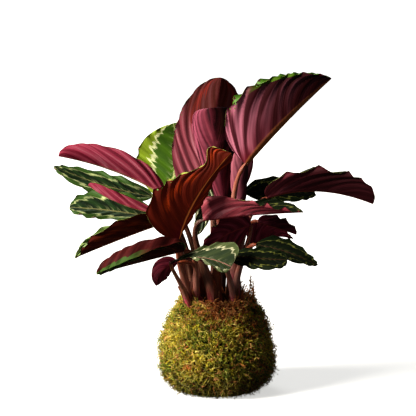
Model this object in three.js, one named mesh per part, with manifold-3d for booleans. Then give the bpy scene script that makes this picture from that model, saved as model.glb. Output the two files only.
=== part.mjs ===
// A kokedama: a broad-leaved house plant grown without a pot. Its ball of moist peat is wrapped
// in living moss, bound with thin thread and stands on a small flat spot. Leaf stalks rise in
// five shoots out of plain holes in the peat, each stalk carrying one waved, folded leaf blade.
//
// Millimetres, +Z up. +X is to the right and +Y away as the plant's front is looked at. The
// origin is the middle of the flat spot under the ball.
import * as THREE from "three";
import { mergeVertices } from "three/addons/utils/BufferGeometryUtils.js";
import Module from "manifold-3d";

const solids = await Module();
solids.setup();

// ---------------------------------------------------------------- driving dimensions

const CLEARANCE = 0.3;            // gap between pieces that touch

const BALL_MIDDLE = 55;           // height of the ball's middle
const BALL_SIDES = 36;
const BALL_ROWS = 14;
const MOSS_OUTSIDE = [            // [radius, height] from the flat spot up to the rim
  [44, 0], [54, 8], [62, 21], [65, 38], [63.5, 56], [59, 74], [52, 91], [45, 104], [39, 113],
];
const MOSS_INSIDE = [             // [radius, height] from the rim down to the floor
  [35, 113], [40, 106], [46, 96], [52, 80], [56, 61], [56, 41], [53, 25], [46, 13], [36, 6],
];
const PEAT_CROWN = [[22, 116], [0, 118]];
const PEAT_GAP = 0.6;             // how far the peat is drawn in from the moss

const CUSHIONS = [                // waves over the moss: height, how many round, rise, start
  [1.3, 5, 1 / 13, 0], [1.0, 8, -1 / 9, 2], [0.7, 11, 1 / 6, 0],
];
const CUSHION_FADE = 12;          // height over which they fade to nothing at rim and flat spot

const THREAD_RADIUS = 0.5;
const THREAD_LIFT = 2.2;          // thread's middle above the moss
const THREAD_TILT = 38;           // degrees from level
const THREAD_TURNS = 3;
const THREAD_STEPS = 32;
const THREAD_SIDES = 4;
const THREAD_PASSES = 20;         // tries at finding the moss's surface

const BLADE_THICKNESS = 0.8;
const MIDRIB_DEPTH = 1.1;         // how far the midrib stands out below the blade at its base
const BLADE_COLUMNS = [0, 0.4, 0.75, 1];   // shares of the half width, midrib to edge
const NARROW_COLUMNS = [0, 0.55, 1];       // the same on leaves narrower than
const NARROW_LEAF = 25;                    // this half width
const VEIN_SWEEP = 0.21;          // how far side veins run towards the tip, of the length
const VEIN_BEND = 1.4;            // power of the sweep over the half width
const VEIN_SPACING = [0.14, 10.7];         // how unevenly side veins lie, and how often that turns
const WAVE_CHANGE = [0.4, 8.2];            // how unequal the waves are, and how often that turns
const EDGE_SCALLOP = 0.06;        // depth of the waved outline, of the half width
const PLEAT_HEIGHT = 0.8;         // waves between the side veins
const EDGE_WAVE_HEIGHT = 2.2;     // extra wave at the very edge
const SHOULDER_PLACE = 0.93;      // where a blunt tip widens again, of the length
const SHOULDER_LENGTH = 0.1;
const SHOULDER_END = 20;          // power that closes the shoulder at the tip
const NARROWEST_HALF = [1.9, 0.5];         // half width at the blade's base and tip

const STALK_SIDES = 6;
const STALK_STEPS = 8;
const STALK_START = 104;          // height inside the peat where stalks leave the crown
const STALK_SPREAD_HEIGHT = 220;   // stalks fan out as if from a point this far below
const STALK_TOP_RADIUS = 1.9;
const STALK_TAPER = 1.2;
const STALK_RISE = 0.3;           // how far a stalk keeps to its first direction, of its length
const STALK_REACH = 0.23;         // and to its blade's direction at the top
const KNEE_SWELLING = 0.5;        // swollen joint just below the blade
const KNEE_PLACE = 0.93;
const KNEE_LENGTH = 0.05;

const CROWN_SHAPE = [             // [share of the crown's radius, height]
  [0, 74], [0.6, 74], [1, 98], [1, 108], [0.8, 115], [0, 118],
];
const CROWN_HOLE = [              // the plain hole it stands in, open upwards
  [0, 73.5], [0.6, 73.5], [1, 96], [1.2, 103], [1.35, 125], [1.35, 150], [0, 150],
];
const CROWN_SIDES = 14;

// Shoots: a crown (middle and half widths), and the pointed sheaths or cut stubs beside it.
const SHOOTS = [
  { name: "shoot_front_left", crown: [-27, -18], half: [12, 12],
    sheaths: [{ from: [-26, -26, 108], to: [-29, -31, 129], radii: [4, 0.6] },
      { from: [-36, -20, 112], to: [-45, -22, 130], radii: [2.8, 2.4] }] },
  { name: "shoot_rear_left", crown: [-20, 10], half: [13, 13],
    sheaths: [{ from: [-29, 12, 108], to: [-34, 14, 127], radii: [3.6, 0.6] }] },
  { name: "shoot_front", crown: [-1, -21], half: [9, 9],
    sheaths: [{ from: [1, -26, 108], to: [3, -29, 126], radii: [3.4, 0.6] }] },
  { name: "shoot_middle", crown: [1, 10], half: [8, 11],
    sheaths: [{ from: [3, 17, 108], to: [5, 21, 127], radii: [3.6, 0.6] }] },
  { name: "shoot_right", crown: [19, -4], half: [9.5, 20],
    sheaths: [{ from: [22, -17, 108], to: [25, -22, 128], radii: [3.8, 0.6] },
      { from: [20, 13, 108], to: [23, 17, 124], radii: [3.4, 0.6] }] },
];

// Leaves. crown: where the stalk leaves its shoot. base, tip: ends of the midrib, which bows
// sideways by bow. facing: where the upper face looks at base and tip. half: half width. right,
// left: the two halves seen from above, each [fold at base, fold at tip, curl at base, curl at
// tip] in degrees, upwards. outline: how quickly the blade widens and narrows. waves: how many
// along an edge. Where a leaf needs them: leftShare, the left half's width at base and tip beside
// the right's; edgeWave and scallop, its own edge; lobe, how far its base reaches back; reach, how
// far its stalk keeps to the blade's direction; shoulder, how much a blunt tip widens again; late,
// a power that keeps the turn of its face to the last part.
const LEAVES = [
  { name: "leaf_tall_rear", shoot: "shoot_middle", crown: [1, 13], stalk: 7, purple: true,
    base: [0, 42, 225], tip: [6, 59, 375], bow: [-7, 3, -4], facing: [[0, 1, 0.1], [0, 1, 0.25]],
    half: 62, right: [25, 25, 15, 20], left: [25, 25, 20, 20], outline: [0.4, 0.55], waves: 6,
    edgeWave: 2.4, scallop: 0.07 },
  { name: "leaf_rolled_middle", shoot: "shoot_middle", crown: [3, 5], stalk: 6.5, purple: true,
    base: [12, 8, 203], tip: [-8, 14, 340], bow: [-1, 0, -3],
    facing: [[0.15, 1, 0], [0.1, 1, 0.1]], half: 52, right: [25, 15, 90, 70],
    left: [25, 15, 90, 70], outline: [0.7, 0.22], waves: 5, edgeWave: 1, scallop: 0.03 },
  { name: "leaf_high_right", shoot: "shoot_right", crown: [19, -12], stalk: 8.5, purple: true,
    base: [33, -34, 277], tip: [132, -34, 377], bow: [-2, 0, 1],
    facing: [[-0.5, 0.71, 0.5], [-0.7, 0.17, 0.69]], half: 60, right: [58, 55, 8, 8],
    left: [80, 88, 0, 0], outline: [0.38, 0.72], waves: 7, leftShare: [1.45, 0.92], edgeWave: 2.6,
    scallop: 0.11 },
  { name: "leaf_level_right", shoot: "shoot_right", crown: [20, 3], stalk: 5, purple: true,
    base: [59, -14, 235], tip: [182, -42, 231], bow: [-2, -1, 12],
    facing: [[0, 0, 1], [-0.1, 0, 1]], half: 34, right: [45, 60, 0, 20], left: [20, 10, 0, -20],
    outline: [0.38, 0.36], waves: 6, scallop: 0.1 },
  { name: "leaf_long_left", shoot: "shoot_rear_left", crown: [-16, 5], stalk: 5, purple: true,
    base: [-65, 6, 238], tip: [-189, -2, 284], bow: [5, -1, 5], facing: [[0, 0.1, 1], [0, 0.1, 1]],
    half: 28, right: [20, 20, 0, 10], left: [38, 30, 90, 90], outline: [0.5, 0.42], waves: 6,
    edgeWave: 0.8, scallop: 0.02 },
  { name: "leaf_upper_left", shoot: "shoot_rear_left", crown: [-24, 14], stalk: 4, purple: false,
    base: [-79, 33, 231], tip: [-200, 42, 267], bow: [0, 1, -4],
    facing: [[-0.1, -0.45, 0.9], [-0.1, -0.45, 0.9]], half: 25, right: [0, 0, 10, 0],
    left: [0, 0, 0, 0], outline: [0.55, 0.7], waves: 5, leftShare: [0.93, 0.93], edgeWave: 1.2,
    scallop: 0.02 },
  { name: "leaf_broad_left", shoot: "shoot_rear_left", crown: [-28, 5], stalk: 4, purple: false,
    base: [-75, -12, 211], tip: [-175, -18, 224], bow: [1, -1, 2],
    facing: [[-0.1, -0.4, 0.92], [-0.1, -0.4, 0.92]], half: 42, right: [6, 6, 0, 0],
    left: [5, 0, 10, 10], outline: [0.5, 0.45], waves: 5, leftShare: [0.6, 0.62], edgeWave: 1.2,
    scallop: 0.02 },
  { name: "leaf_young_left", shoot: "shoot_rear_left", crown: [-25, 0], stalk: 3.5, purple: true,
    base: [-72, -38, 220], tip: [-151, -38, 253], bow: [-4, -2, -4],
    facing: [[0, 0, 1], [0, 0, 1]], half: 12, right: [60, 60, 40, 40], left: [55, 55, 40, 40],
    outline: [0.5, 0.4], waves: 4, edgeWave: 0.5, scallop: 0.02 },
  { name: "leaf_rear_left", shoot: "shoot_rear_left", crown: [-14, 16], stalk: 4.5, purple: false,
    base: [-64, 88, 220], tip: [-55, 112, 316], bow: [8, 7, 1],
    facing: [[-0.1, -1, 0.3], [0, -1, 0.4]], half: 50, right: [10, 10, 10, 10],
    left: [10, 10, -10, -10], outline: [0.4, 0.36], waves: 5, edgeWave: 1.6, scallop: 0.03 },
  { name: "leaf_front_large", shoot: "shoot_front_left", crown: [-31, -17], stalk: 6.5, purple: true,
    base: [-45, -68, 191], tip: [15, -93, 295], bow: [-8, -3, 1],
    facing: [[-0.5, 0.5, 0.5], [-0.4, 0.6, 0.5]], half: 50, right: [10, 50, 15, 20],
    left: [18, 22, 0, 10], outline: [0.85, 1.95], waves: 9, leftShare: [0.02, 1.2], scallop: 0.09,
    shoulder: 0.5 },
  { name: "leaf_folded_left", shoot: "shoot_front_left", crown: [-35, -13], stalk: 4.5, purple: true,
    base: [-67, -52, 209], tip: [-164, -72, 172], bow: [-1, -3, 1],
    facing: [[0, 0, 1], [0.2, -0.9, 0.4]], half: 27, right: [10, 48, 10, 40],
    left: [45, 45, 20, 40], outline: [0.35, 0.7], waves: 5, edgeWave: 1.8, late: 9 },
  { name: "leaf_scrolled_left", shoot: "shoot_front_left", crown: [-24, -21], stalk: 4.5, purple: true,
    base: [-38, -70, 180], tip: [-137, -94, 157], bow: [-1, -7, 1], facing: [[0, 0, 1], [0, 0, 1]],
    half: 60, right: [75, 75, 140, 190], left: [52, 5, 0, 0], outline: [0.5, 0.6], waves: 6,
    leftShare: [0.5, 0.27], edgeWave: 1.6, scallop: 0.04 },
  { name: "leaf_small_drooping", shoot: "shoot_front_left", crown: [-36, -20], stalk: 2.6, purple: true,
    base: [-46, -64, 165], tip: [-70, -80, 141], bow: [-5, -1, 5],
    facing: [[0.1, 1, 0.2], [0.1, 1, 0.2]], half: 12.5, right: [20, 20, 10, 10],
    left: [20, 20, 10, 10], outline: [0.55, 0.75], waves: 3, edgeWave: 0.5, scallop: 0.03,
    reach: 0.6 },
  { name: "leaf_front_spoon", shoot: "shoot_front_left", crown: [-33, -26], stalk: 3.2, purple: false,
    base: [-53, -84, 168], tip: [15, -116, 169], bow: [-2, -3, 9],
    facing: [[0, 0.1, 1], [0.3, -0.9, 0.5]], half: 12, right: [0, 0, 0, 0], left: [50, 0, 40, 0],
    outline: [1.6, 0.25], waves: 5, leftShare: [2.3, 2.5], edgeWave: 1, scallop: 0.03, reach: 0.08,
    late: 2 },
  { name: "leaf_front_right", shoot: "shoot_front", crown: [-3, -22], stalk: 7.3, purple: true,
    base: [-16, -53, 213], tip: [98, -80, 226], bow: [-2, -2, 2], facing: [[0, 0.1, 1], [0, 0, 1]],
    half: 30, right: [86, 16, 0, 10], left: [20, 50, 10, 10], outline: [0.2, 0.85], waves: 6,
    leftShare: [0.57, 1.7], edgeWave: 1.6, scallop: 0.04, lobe: [0.3, 0.05], reach: 0.28 },
  { name: "leaf_low_middle", shoot: "shoot_right", crown: [16, -16], stalk: 5, purple: true,
    base: [39, -36, 204.5], tip: [-19, -56, 177], bow: [2, -1, 6],
    facing: [[0.1, 0.6, 0.8], [0.1, 0.6, 0.8]], half: 30, right: [-20, -20, 0, 0],
    left: [30, 30, 10, 10], outline: [0.55, 0.7], waves: 5, leftShare: [1, 0.45], reach: 0.08 },
  { name: "leaf_pointed_right", shoot: "shoot_right", crown: [20, -14], stalk: 4, purple: false,
    base: [45, -50, 184], tip: [116, -68, 163], bow: [0, -4, 4],
    facing: [[0.1, -0.4, 0.9], [0.2, -0.4, 0.9]], half: 13, right: [-20, -10, 0, 0],
    left: [20, 10, 0, 0], outline: [0.55, 0.7], waves: 5, leftShare: [1.8, 1.2], edgeWave: 1.2,
    scallop: 0.02 },
  { name: "leaf_low_right", shoot: "shoot_right", crown: [20, -19], stalk: 4, purple: false,
    base: [15, -76, 176], tip: [79, -92, 173], bow: [-1, -6, 0],
    facing: [[0.1, -0.6, 0.8], [0.1, -0.6, 0.8]], half: 19, right: [10, 10, -10, -10],
    left: [0, 0, 10, 10], outline: [0.5, 0.4], waves: 5, leftShare: [0.9, 0.9], edgeWave: 1.2,
    scallop: 0.02 },
  { name: "leaf_rear_right", shoot: "shoot_right", crown: [19, 12], stalk: 4, purple: false,
    base: [35, 24, 236], tip: [122, 40, 232], bow: [-1, 3, 6],
    facing: [[0, -0.7, 0.7], [0, -0.7, 0.7]], half: 20, right: [0, 0, 0, 0], left: [0, 0, 0, 0],
    outline: [0.55, 0.7], waves: 5, edgeWave: 1.6, scallop: 0.03 },
  { name: "leaf_under_right", shoot: "shoot_right", crown: [21, 5], stalk: 4, purple: true,
    base: [43, 10, 173], tip: [93, 18, 181], bow: [-2, 2, 7], facing: [[0, 0.3, 1], [0, 0.3, 1]],
    half: 26, right: [60, 50, 10, 10], left: [30, 30, 0, 0], outline: [0.4, 1.2], waves: 5,
    reach: 0.4 },
  { name: "leaf_narrow_right", shoot: "shoot_right", crown: [21, -5], stalk: 3.5, purple: true,
    base: [48, -24, 208], tip: [93, -34, 194], bow: [-1, -1, 1],
    facing: [[0, 0.2, 1], [0, 0.2, 1]], half: 18, right: [50, 30, 10, 10], left: [30, 30, 0, 0],
    outline: [0.5, 0.4], waves: 4, edgeWave: 1.2 },
  { name: "leaf_hanging_middle", shoot: "shoot_front", crown: [-1, -17], stalk: 6.5, purple: false,
    base: [-10, -8, 246], tip: [-25, -26, 191], bow: [2, -2, 1],
    facing: [[0.2, -1, 0.3], [0.2, -1, 0.3]], half: 10, right: [10, 10, 10, 10],
    left: [10, 10, 10, 10], outline: [0.55, 0.7], waves: 4, edgeWave: 1, scallop: 0.04 },
  { name: "leaf_spear_right", shoot: "shoot_right", crown: [14, 2], stalk: 5, purple: true,
    base: [27, -4, 210], tip: [28, 2, 290], bow: [-1, 0, 0], facing: [[0, 1, 0], [0, 1, 0]],
    half: 26, right: [0, 0, 150, 150], left: [0, 0, 150, 150], outline: [0.5, 0.3], waves: 4,
    edgeWave: 0.5, scallop: 0.02 },
];

// ---------------------------------------------------------------- materials

const MOSS_GREEN = { color: 0x7f8a2c, roughness: 0.95 };
const PEAT_BROWN = { color: 0x5a3a22, roughness: 1.0 };
const THREAD_OLIVE = { color: 0x8c8450, roughness: 0.8 };
const STALK_RED = { color: 0x6e2b2c, roughness: 0.5 };
const LEAF_PURPLE = { color: 0x5c1a2e, roughness: 0.42 };
const LEAF_GREEN = { color: 0x2c4a1e, roughness: 0.38 };

// A named mesh with its plain finish.
function piece(name, geometry, finish) {
  const material = new THREE.MeshStandardMaterial({ ...finish, metalness: 0 });
  const mesh = new THREE.Mesh(geometry, material);
  mesh.name = name;
  return mesh;
}

// ---------------------------------------------------------------- solids

// One closed solid from a geometry: equal corners merged, flat triangles dropped, facing out.
function asSolid(geometry) {
  const bare = new THREE.BufferGeometry();
  bare.setAttribute("position", geometry.getAttribute("position"));
  if (geometry.index) {
    bare.setIndex(geometry.index);
  }
  const merged = mergeVertices(bare, 1e-4);
  const corners = Array.from(merged.index.array);
  const kept = [];
  for (let i = 0; i < corners.length; i += 3) {
    const [a, b, c] = corners.slice(i, i + 3);
    if (a !== b && b !== c && c !== a) {
      kept.push(a, b, c);
    }
  }
  const build = (order) => new solids.Manifold(new solids.Mesh({
    numProp: 3,
    vertProperties: new Float32Array(merged.getAttribute("position").array),
    triVerts: new Uint32Array(order),
  }));
  const solid = build(kept);
  return solid.volume() < 0 ? build(kept.reverse()) : solid;
}

function asGeometry(solid) {
  const mesh = solid.getMesh();
  const geometry = new THREE.BufferGeometry();
  geometry.setAttribute("position", new THREE.BufferAttribute(mesh.vertProperties, mesh.numProp));
  geometry.setIndex(new THREE.BufferAttribute(mesh.triVerts, 1));
  return geometry;
}

function fuse(parts) {
  return parts.reduce((whole, part) => whole.add(part));
}

// A body of revolution about the upright axis from [radius, height] pairs.
function turned(pairs, sides) {
  const profile = pairs.map(([radius, height]) => new THREE.Vector2(radius, height));
  return new THREE.LatheGeometry(profile, sides).rotateX(Math.PI / 2);
}

// Moves every corner of a geometry to where place() puts it.
function reshape(geometry, place) {
  const position = geometry.getAttribute("position");
  const corner = new THREE.Vector3();
  for (let i = 0; i < position.count; i += 1) {
    corner.fromBufferAttribute(position, i);
    place(corner, i);
    position.setXYZ(i, corner.x, corner.y, corner.z);
  }
  return geometry;
}

// ---------------------------------------------------------------- moss, peat and thread

function smoothCurve(pairs) {
  return new THREE.SplineCurve(pairs.map(([radius, height]) => new THREE.Vector2(radius, height)));
}

const OUTSIDE_PAIRS = smoothCurve(MOSS_OUTSIDE).getPoints(BALL_ROWS).map((p) => [p.x, p.y]);

// Height of the moss cushions over the ball: three crossing waves, none at the flat spot or rim.
function cushion(angle, height) {
  const waves = CUSHIONS.map(([size, round, rise, start]) => (
    size * Math.sin(round * angle + rise * height + start)));
  const toRim = MOSS_OUTSIDE.at(-1)[1] - height;
  const fade = Math.min(1, height / CUSHION_FADE, toRim / CUSHION_FADE);
  return waves.reduce((sum, wave) => sum + wave) * Math.max(0, fade);
}

function mossWrap(holes) {
  const pairs = [[0, 0], ...OUTSIDE_PAIRS, ...MOSS_INSIDE, [0, MOSS_INSIDE.at(-1)[1]]];
  const outer = OUTSIDE_PAIRS.length + 1;
  const raise = (corner, i) => {
    if (i % pairs.length < outer) {
      const reach = Math.hypot(corner.x, corner.y);
      const raised = reach + cushion(Math.atan2(corner.y, corner.x), corner.z);
      const share = reach > 0 ? raised / reach : 1;
      corner.x *= share;
      corner.y *= share;
    }
  };
  return asSolid(reshape(turned(pairs, BALL_SIDES), raise)).subtract(holes);
}

// The peat fills the moss but for a small gap, and domes up a little inside the rim.
function peatCore(holes) {
  const inside = [[0, MOSS_INSIDE.at(-1)[1]], ...MOSS_INSIDE.toReversed()];
  const drawnIn = inside.map(([radius, height]) => {
    const reach = Math.hypot(radius, height - BALL_MIDDLE);
    const share = 1 - PEAT_GAP / reach;
    return [radius * share, BALL_MIDDLE + (height - BALL_MIDDLE) * share];
  });
  return asSolid(turned([...drawnIn, ...PEAT_CROWN], BALL_SIDES)).subtract(holes);
}

// The moss's outer radius at a height, before its cushions are raised.
function mossRadius(height) {
  const above = OUTSIDE_PAIRS.findIndex(([, top]) => top >= height);
  const [lowRadius, low] = OUTSIDE_PAIRS[Math.max(above - 1, 0)];
  const [highRadius, high] = OUTSIDE_PAIRS[Math.max(above, 1)];
  return THREE.MathUtils.mapLinear(height, low, high, lowRadius, highRadius);
}

// One turn of thread: a tilted ring round the ball's middle, drawn onto the moss.
function threadTurn(turn) {
  const heading = turn * Math.PI / THREAD_TURNS;
  const tilt = THREE.MathUtils.degToRad(THREAD_TILT);
  const points = [];
  for (let i = 0; i < THREAD_STEPS; i += 1) {
    const angle = i * 2 * Math.PI / THREAD_STEPS;
    const way = new THREE.Vector3(Math.cos(angle), Math.sin(angle), 0);
    way.applyAxisAngle(new THREE.Vector3(1, 0, 0), tilt);
    way.applyAxisAngle(new THREE.Vector3(0, 0, 1), heading);
    const level = Math.hypot(way.x, way.y);
    const around = Math.atan2(way.y, way.x);
    let reach = BALL_MIDDLE;
    for (let pass = 0; pass < THREAD_PASSES; pass += 1) {
      const height = BALL_MIDDLE + reach * way.z;
      reach = (mossRadius(height) + cushion(around, height) + THREAD_LIFT) / level;
    }
    points.push(way.multiplyScalar(reach).add(new THREE.Vector3(0, 0, BALL_MIDDLE)));
  }
  const ring = new THREE.CatmullRomCurve3(points, true);
  return asSolid(new THREE.TubeGeometry(ring, THREAD_STEPS, THREAD_RADIUS, THREAD_SIDES, true));
}

function bindingThread() {
  const turns = Array.from({ length: THREAD_TURNS }, (_, turn) => threadTurn(turn));
  return fuse(turns);
}

// ---------------------------------------------------------------- stalks and shoots

function vector([x, y, z]) {
  return new THREE.Vector3(x, y, z);
}

function midribPoint(leaf, along) {
  const point = vector(leaf.base).lerp(vector(leaf.tip), along);
  return point.addScaledVector(vector(leaf.bow), 4 * along * (1 - along));
}

function midribWay(leaf, along) {
  const way = vector(leaf.tip).sub(vector(leaf.base));
  return way.addScaledVector(vector(leaf.bow), 4 - 8 * along).normalize();
}

// The curve of a stalk: straight up out of its crown, then over into the midrib.
function stalkCurve(leaf) {
  const foot = new THREE.Vector3(leaf.crown[0], leaf.crown[1], STALK_START);
  const way = midribWay(leaf, 0);
  const head = vector(leaf.base).addScaledVector(way, -CLEARANCE);
  const length = foot.distanceTo(head);
  const lean = new THREE.Vector3(foot.x, foot.y, STALK_SPREAD_HEIGHT).normalize();
  const rise = foot.clone().addScaledVector(lean, length * STALK_RISE);
  const reach = head.clone().addScaledVector(way, -length * (leaf.reach ?? STALK_REACH));
  const curve = new THREE.CubicBezierCurve3(foot, rise, reach, head);
  curve.getUtoTmapping = (share) => share;   // steps lie closer together where the stalk bends
  return curve;
}

function stalkRadius(leaf, along) {
  const taper = STALK_TOP_RADIUS + (leaf.stalk - STALK_TOP_RADIUS) * (1 - along) ** STALK_TAPER;
  const knee = KNEE_SWELLING * Math.exp(-(((along - KNEE_PLACE) / KNEE_LENGTH) ** 2));
  return taper + knee;
}

// A round rod of changing radius along a curve, made from a cylinder of as many steps.
function rodAlong(curve, radiusAt, steps) {
  const frames = curve.computeFrenetFrames(steps, false);
  const place = (corner) => {
    const along = corner.y + 0.5;
    const step = Math.round(along * steps);
    const across = corner.x * radiusAt(along);
    const beside = -corner.z * radiusAt(along);
    const middle = curve.getPointAt(along);
    corner.copy(middle).addScaledVector(frames.normals[step], across);
    corner.addScaledVector(frames.binormals[step], beside);
  };
  return asSolid(reshape(new THREE.CylinderGeometry(1, 1, 1, STALK_SIDES, steps), place));
}

function stalk(leaf) {
  return rodAlong(stalkCurve(leaf), (along) => stalkRadius(leaf, along), STALK_STEPS);
}

function sheath({ from, to, radii }) {
  const line = new THREE.LineCurve3(vector(from), vector(to));
  return rodAlong(line, (along) => radii[0] + (radii[1] - radii[0]) * along, 1);
}

function crown(shoot, shape, margin) {
  const body = turned(shape, CROWN_SIDES);
  body.scale(shoot.half[0] + margin, shoot.half[1] + margin, 1);
  body.translate(shoot.crown[0], shoot.crown[1], 0);
  return asSolid(body);
}

// A whole shoot: its crown, with every stalk and sheath that grows from it.
function shootBody(shoot) {
  const stalks = LEAVES.filter((leaf) => leaf.shoot === shoot.name).map(stalk);
  return fuse([crown(shoot, CROWN_SHAPE, 0), ...stalks, ...shoot.sheaths.map(sheath)]);
}

// ---------------------------------------------------------------- leaf blades

// Width at a place along the blade as a share of its widest, with the shoulder of a blunt tip.
function outlineShare(leaf, along) {
  const [widen, narrow] = leaf.outline;
  const widest = widen / (widen + narrow);
  const place = THREE.MathUtils.clamp(along, 0, 1);
  const bulge = Math.exp(-(((place - SHOULDER_PLACE) / SHOULDER_LENGTH) ** 2));
  const shoulder = (leaf.shoulder ?? 0) * bulge * (1 - place ** SHOULDER_END);
  return (place / widest) ** widen * ((1 - place) / (1 - widest)) ** narrow + shoulder;
}

function halfWidth(leaf, side, along, outlineAlong, edge) {
  const [atBase, atTip] = side < 0 ? leaf.leftShare ?? [1, 1] : [1, 1];
  const share = atBase + (atTip - atBase) * along;
  const wide = leaf.half * share * outlineShare(leaf, outlineAlong);
  const narrowest = NARROWEST_HALF[1] + (NARROWEST_HALF[0] - NARROWEST_HALF[1]) * (1 - along);
  return Math.max(wide, narrowest) * (1 + edge);
}

// How far along the midrib the points of one side vein lie, for the shape and for the outline.
// The vein leaves the midrib and sweeps towards the tip. The lobe beside the base reaches back.
function placeAlong(leaf, vein, out) {
  const [lobeStart, lobeBack] = leaf.lobe ?? [0, 0];
  const [uneven, often] = VEIN_SPACING;
  const spaced = vein + uneven * vein * (1 - vein) * Math.sin(often * vein + leaf.half);
  const swept = VEIN_SWEEP * out ** VEIN_BEND * 4 * spaced * (1 - spaced);
  const fade = (1 - spaced) ** 4;
  const back = lobeBack * out ** 2 * fade * Math.min(1, 30 * spaced);
  return [spaced + swept - back, spaced + swept + lobeStart * fade];
}

// A point of the blade's middle surface. vein runs 0 to 1 from the base vein to the tip vein,
// out runs 0 to 1 from the midrib to the edge, side is +1 for the right half and -1 for the left.
// Across, the half turns up by the fold and then curls on at a steady rate, so its section is an
// arc. On that lie the waves: round pleats between veins that turn into sharp scallops at the edge.
function bladePoint(leaf, side, vein, out) {
  const [along, outlineAlong] = placeAlong(leaf, vein, out);
  const way = midribWay(leaf, along);
  const turned = THREE.MathUtils.clamp(along, 0, 1) ** (leaf.late ?? 1);
  const facing = vector(leaf.facing[0]).lerp(vector(leaf.facing[1]), turned);
  const up = facing.addScaledVector(way, -facing.dot(way)).normalize();
  const across = new THREE.Vector3().crossVectors(way, up).multiplyScalar(side);

  const count = vein * leaf.waves + (side < 0 ? 0.5 : 0);
  const [unequal, often] = WAVE_CHANGE;
  const change = 1 + unequal * Math.sin(often * vein + 2 * leaf.half);
  const calm = Math.sqrt(Math.max(0, Math.sin(Math.PI * vein))) * change;
  const cusp = Math.abs(Math.sin(Math.PI * count));

  const [foldBase, foldTip, curlBase, curlTip] = side < 0 ? leaf.left : leaf.right;
  const fold = THREE.MathUtils.degToRad(foldBase + (foldTip - foldBase) * along);
  const curl = THREE.MathUtils.degToRad(curlBase + (curlTip - curlBase) * along) || 1e-3;
  const edge = (leaf.scallop ?? EDGE_SCALLOP) * out ** 4 * (0.5 - cusp) * calm;
  const width = halfWidth(leaf, side, along, outlineAlong, edge);
  const turn = fold + curl * out;
  const sideways = width / curl * (Math.sin(turn) - Math.sin(fold));
  const upwards = width / curl * (Math.cos(fold) - Math.cos(turn));

  const pleat = (1 - out ** 2) * Math.cos(2 * Math.PI * count) + out ** 2 * (1 - 2 * cusp);
  const height = PLEAT_HEIGHT * Math.sqrt(out) + (leaf.edgeWave ?? EDGE_WAVE_HEIGHT) * out ** 3;
  const wave = height * pleat * calm;

  const point = midribPoint(leaf, along);
  point.addScaledVector(across, sideways - wave * Math.sin(turn));
  return point.addScaledVector(up, upwards + wave * Math.cos(turn));
}

// Where the blade's rows of corners lie: at each crest and hollow of the waves, closer at the ends.
function veinRows(leaf) {
  const step = 1 / (2 * leaf.waves);
  const even = Array.from({ length: 2 * leaf.waves + 1 }, (_, i) => i * step);
  const close = [0.15, 0.5].flatMap((share) => [share * step, 1 - share * step]);
  return [...even, ...close].sort((a, b) => a - b);
}

// A blade: its middle surface thickened to both sides, with the midrib standing out below. Both
// faces are split into the same triangles, so the waves never bring them together.
function blade(leaf) {
  const rows = veinRows(leaf);
  const outs = leaf.half < NARROW_LEAF ? NARROW_COLUMNS : BLADE_COLUMNS;
  const halves = outs.length - 1;
  const columns = 2 * halves;
  const sheet = new THREE.PlaneGeometry(1, 1, columns, rows.length - 1);
  const shares = [];
  reshape(sheet, (corner, i) => {
    const column = i % (columns + 1) - halves;
    const vein = rows[Math.floor(i / (columns + 1))];
    const out = outs[Math.abs(column)];
    corner.copy(bladePoint(leaf, column < 0 ? -1 : 1, vein, out));
    shares.push(column === 0 ? 1 - vein : 0);
  });
  sheet.computeVertexNormals();
  squareEnds(sheet, columns, rows.length - 1, leaf);
  return thickened(sheet, columns, rows.length - 1, (i) => shares[i] * MIDRIB_DEPTH);
}

// Turns the first and last row's normals square to the midrib, so the ends are cut straight.
function squareEnds(sheet, columns, rows, leaf) {
  const normal = sheet.getAttribute("normal");
  const away = new THREE.Vector3();
  for (const [row, along] of [[0, 0], [rows, 1]]) {
    const way = midribWay(leaf, along);
    for (let i = row * (columns + 1); i < (row + 1) * (columns + 1); i += 1) {
      away.fromBufferAttribute(normal, i);
      away.addScaledVector(way, -away.dot(way)).normalize();
      normal.setXYZ(i, away.x, away.y, away.z);
    }
  }
}

// A closed solid: copies of the sheet half the thickness to each side, joined round the edge.
function thickened(sheet, columns, rows, extraBelow) {
  const position = sheet.getAttribute("position");
  const normal = sheet.getAttribute("normal");
  const count = position.count;
  const corners = new Float32Array(6 * count);
  const point = new THREE.Vector3();
  const away = new THREE.Vector3();
  const half = BLADE_THICKNESS / 2;
  for (let i = 0; i < count; i += 1) {
    away.fromBufferAttribute(normal, i);
    point.fromBufferAttribute(position, i).addScaledVector(away, -half - extraBelow(i));
    point.toArray(corners, 3 * i);
    point.fromBufferAttribute(position, i).addScaledVector(away, half);
    point.toArray(corners, 3 * (i + count));
  }
  const order = [];
  const faces = sheet.index.array;
  for (let i = 0; i < faces.length; i += 3) {
    const [a, b, c] = faces.slice(i, i + 3);
    order.push(a + count, b + count, c + count, c, b, a);
  }
  for (const [from, to] of rimSteps(columns, rows)) {
    order.push(to + count, from + count, from, to + count, from, to);
  }
  const solid = new THREE.BufferGeometry();
  solid.setAttribute("position", new THREE.BufferAttribute(corners, 3));
  solid.setIndex(order);
  return solid;
}

// The sheet's edge as steps from corner to corner, once round.
function rimSteps(columns, rows) {
  const at = (column, row) => row * (columns + 1) + column;
  const loop = [];
  for (let row = 0; row < rows; row += 1) {
    loop.push(at(0, row));
  }
  for (let column = 0; column < columns; column += 1) {
    loop.push(at(column, rows));
  }
  for (let row = rows; row > 0; row -= 1) {
    loop.push(at(columns, row));
  }
  for (let column = columns; column > 0; column -= 1) {
    loop.push(at(column, 0));
  }
  return loop.map((corner, i) => [corner, loop[(i + 1) % loop.length]]);
}

// ---------------------------------------------------------------- the plant

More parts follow.
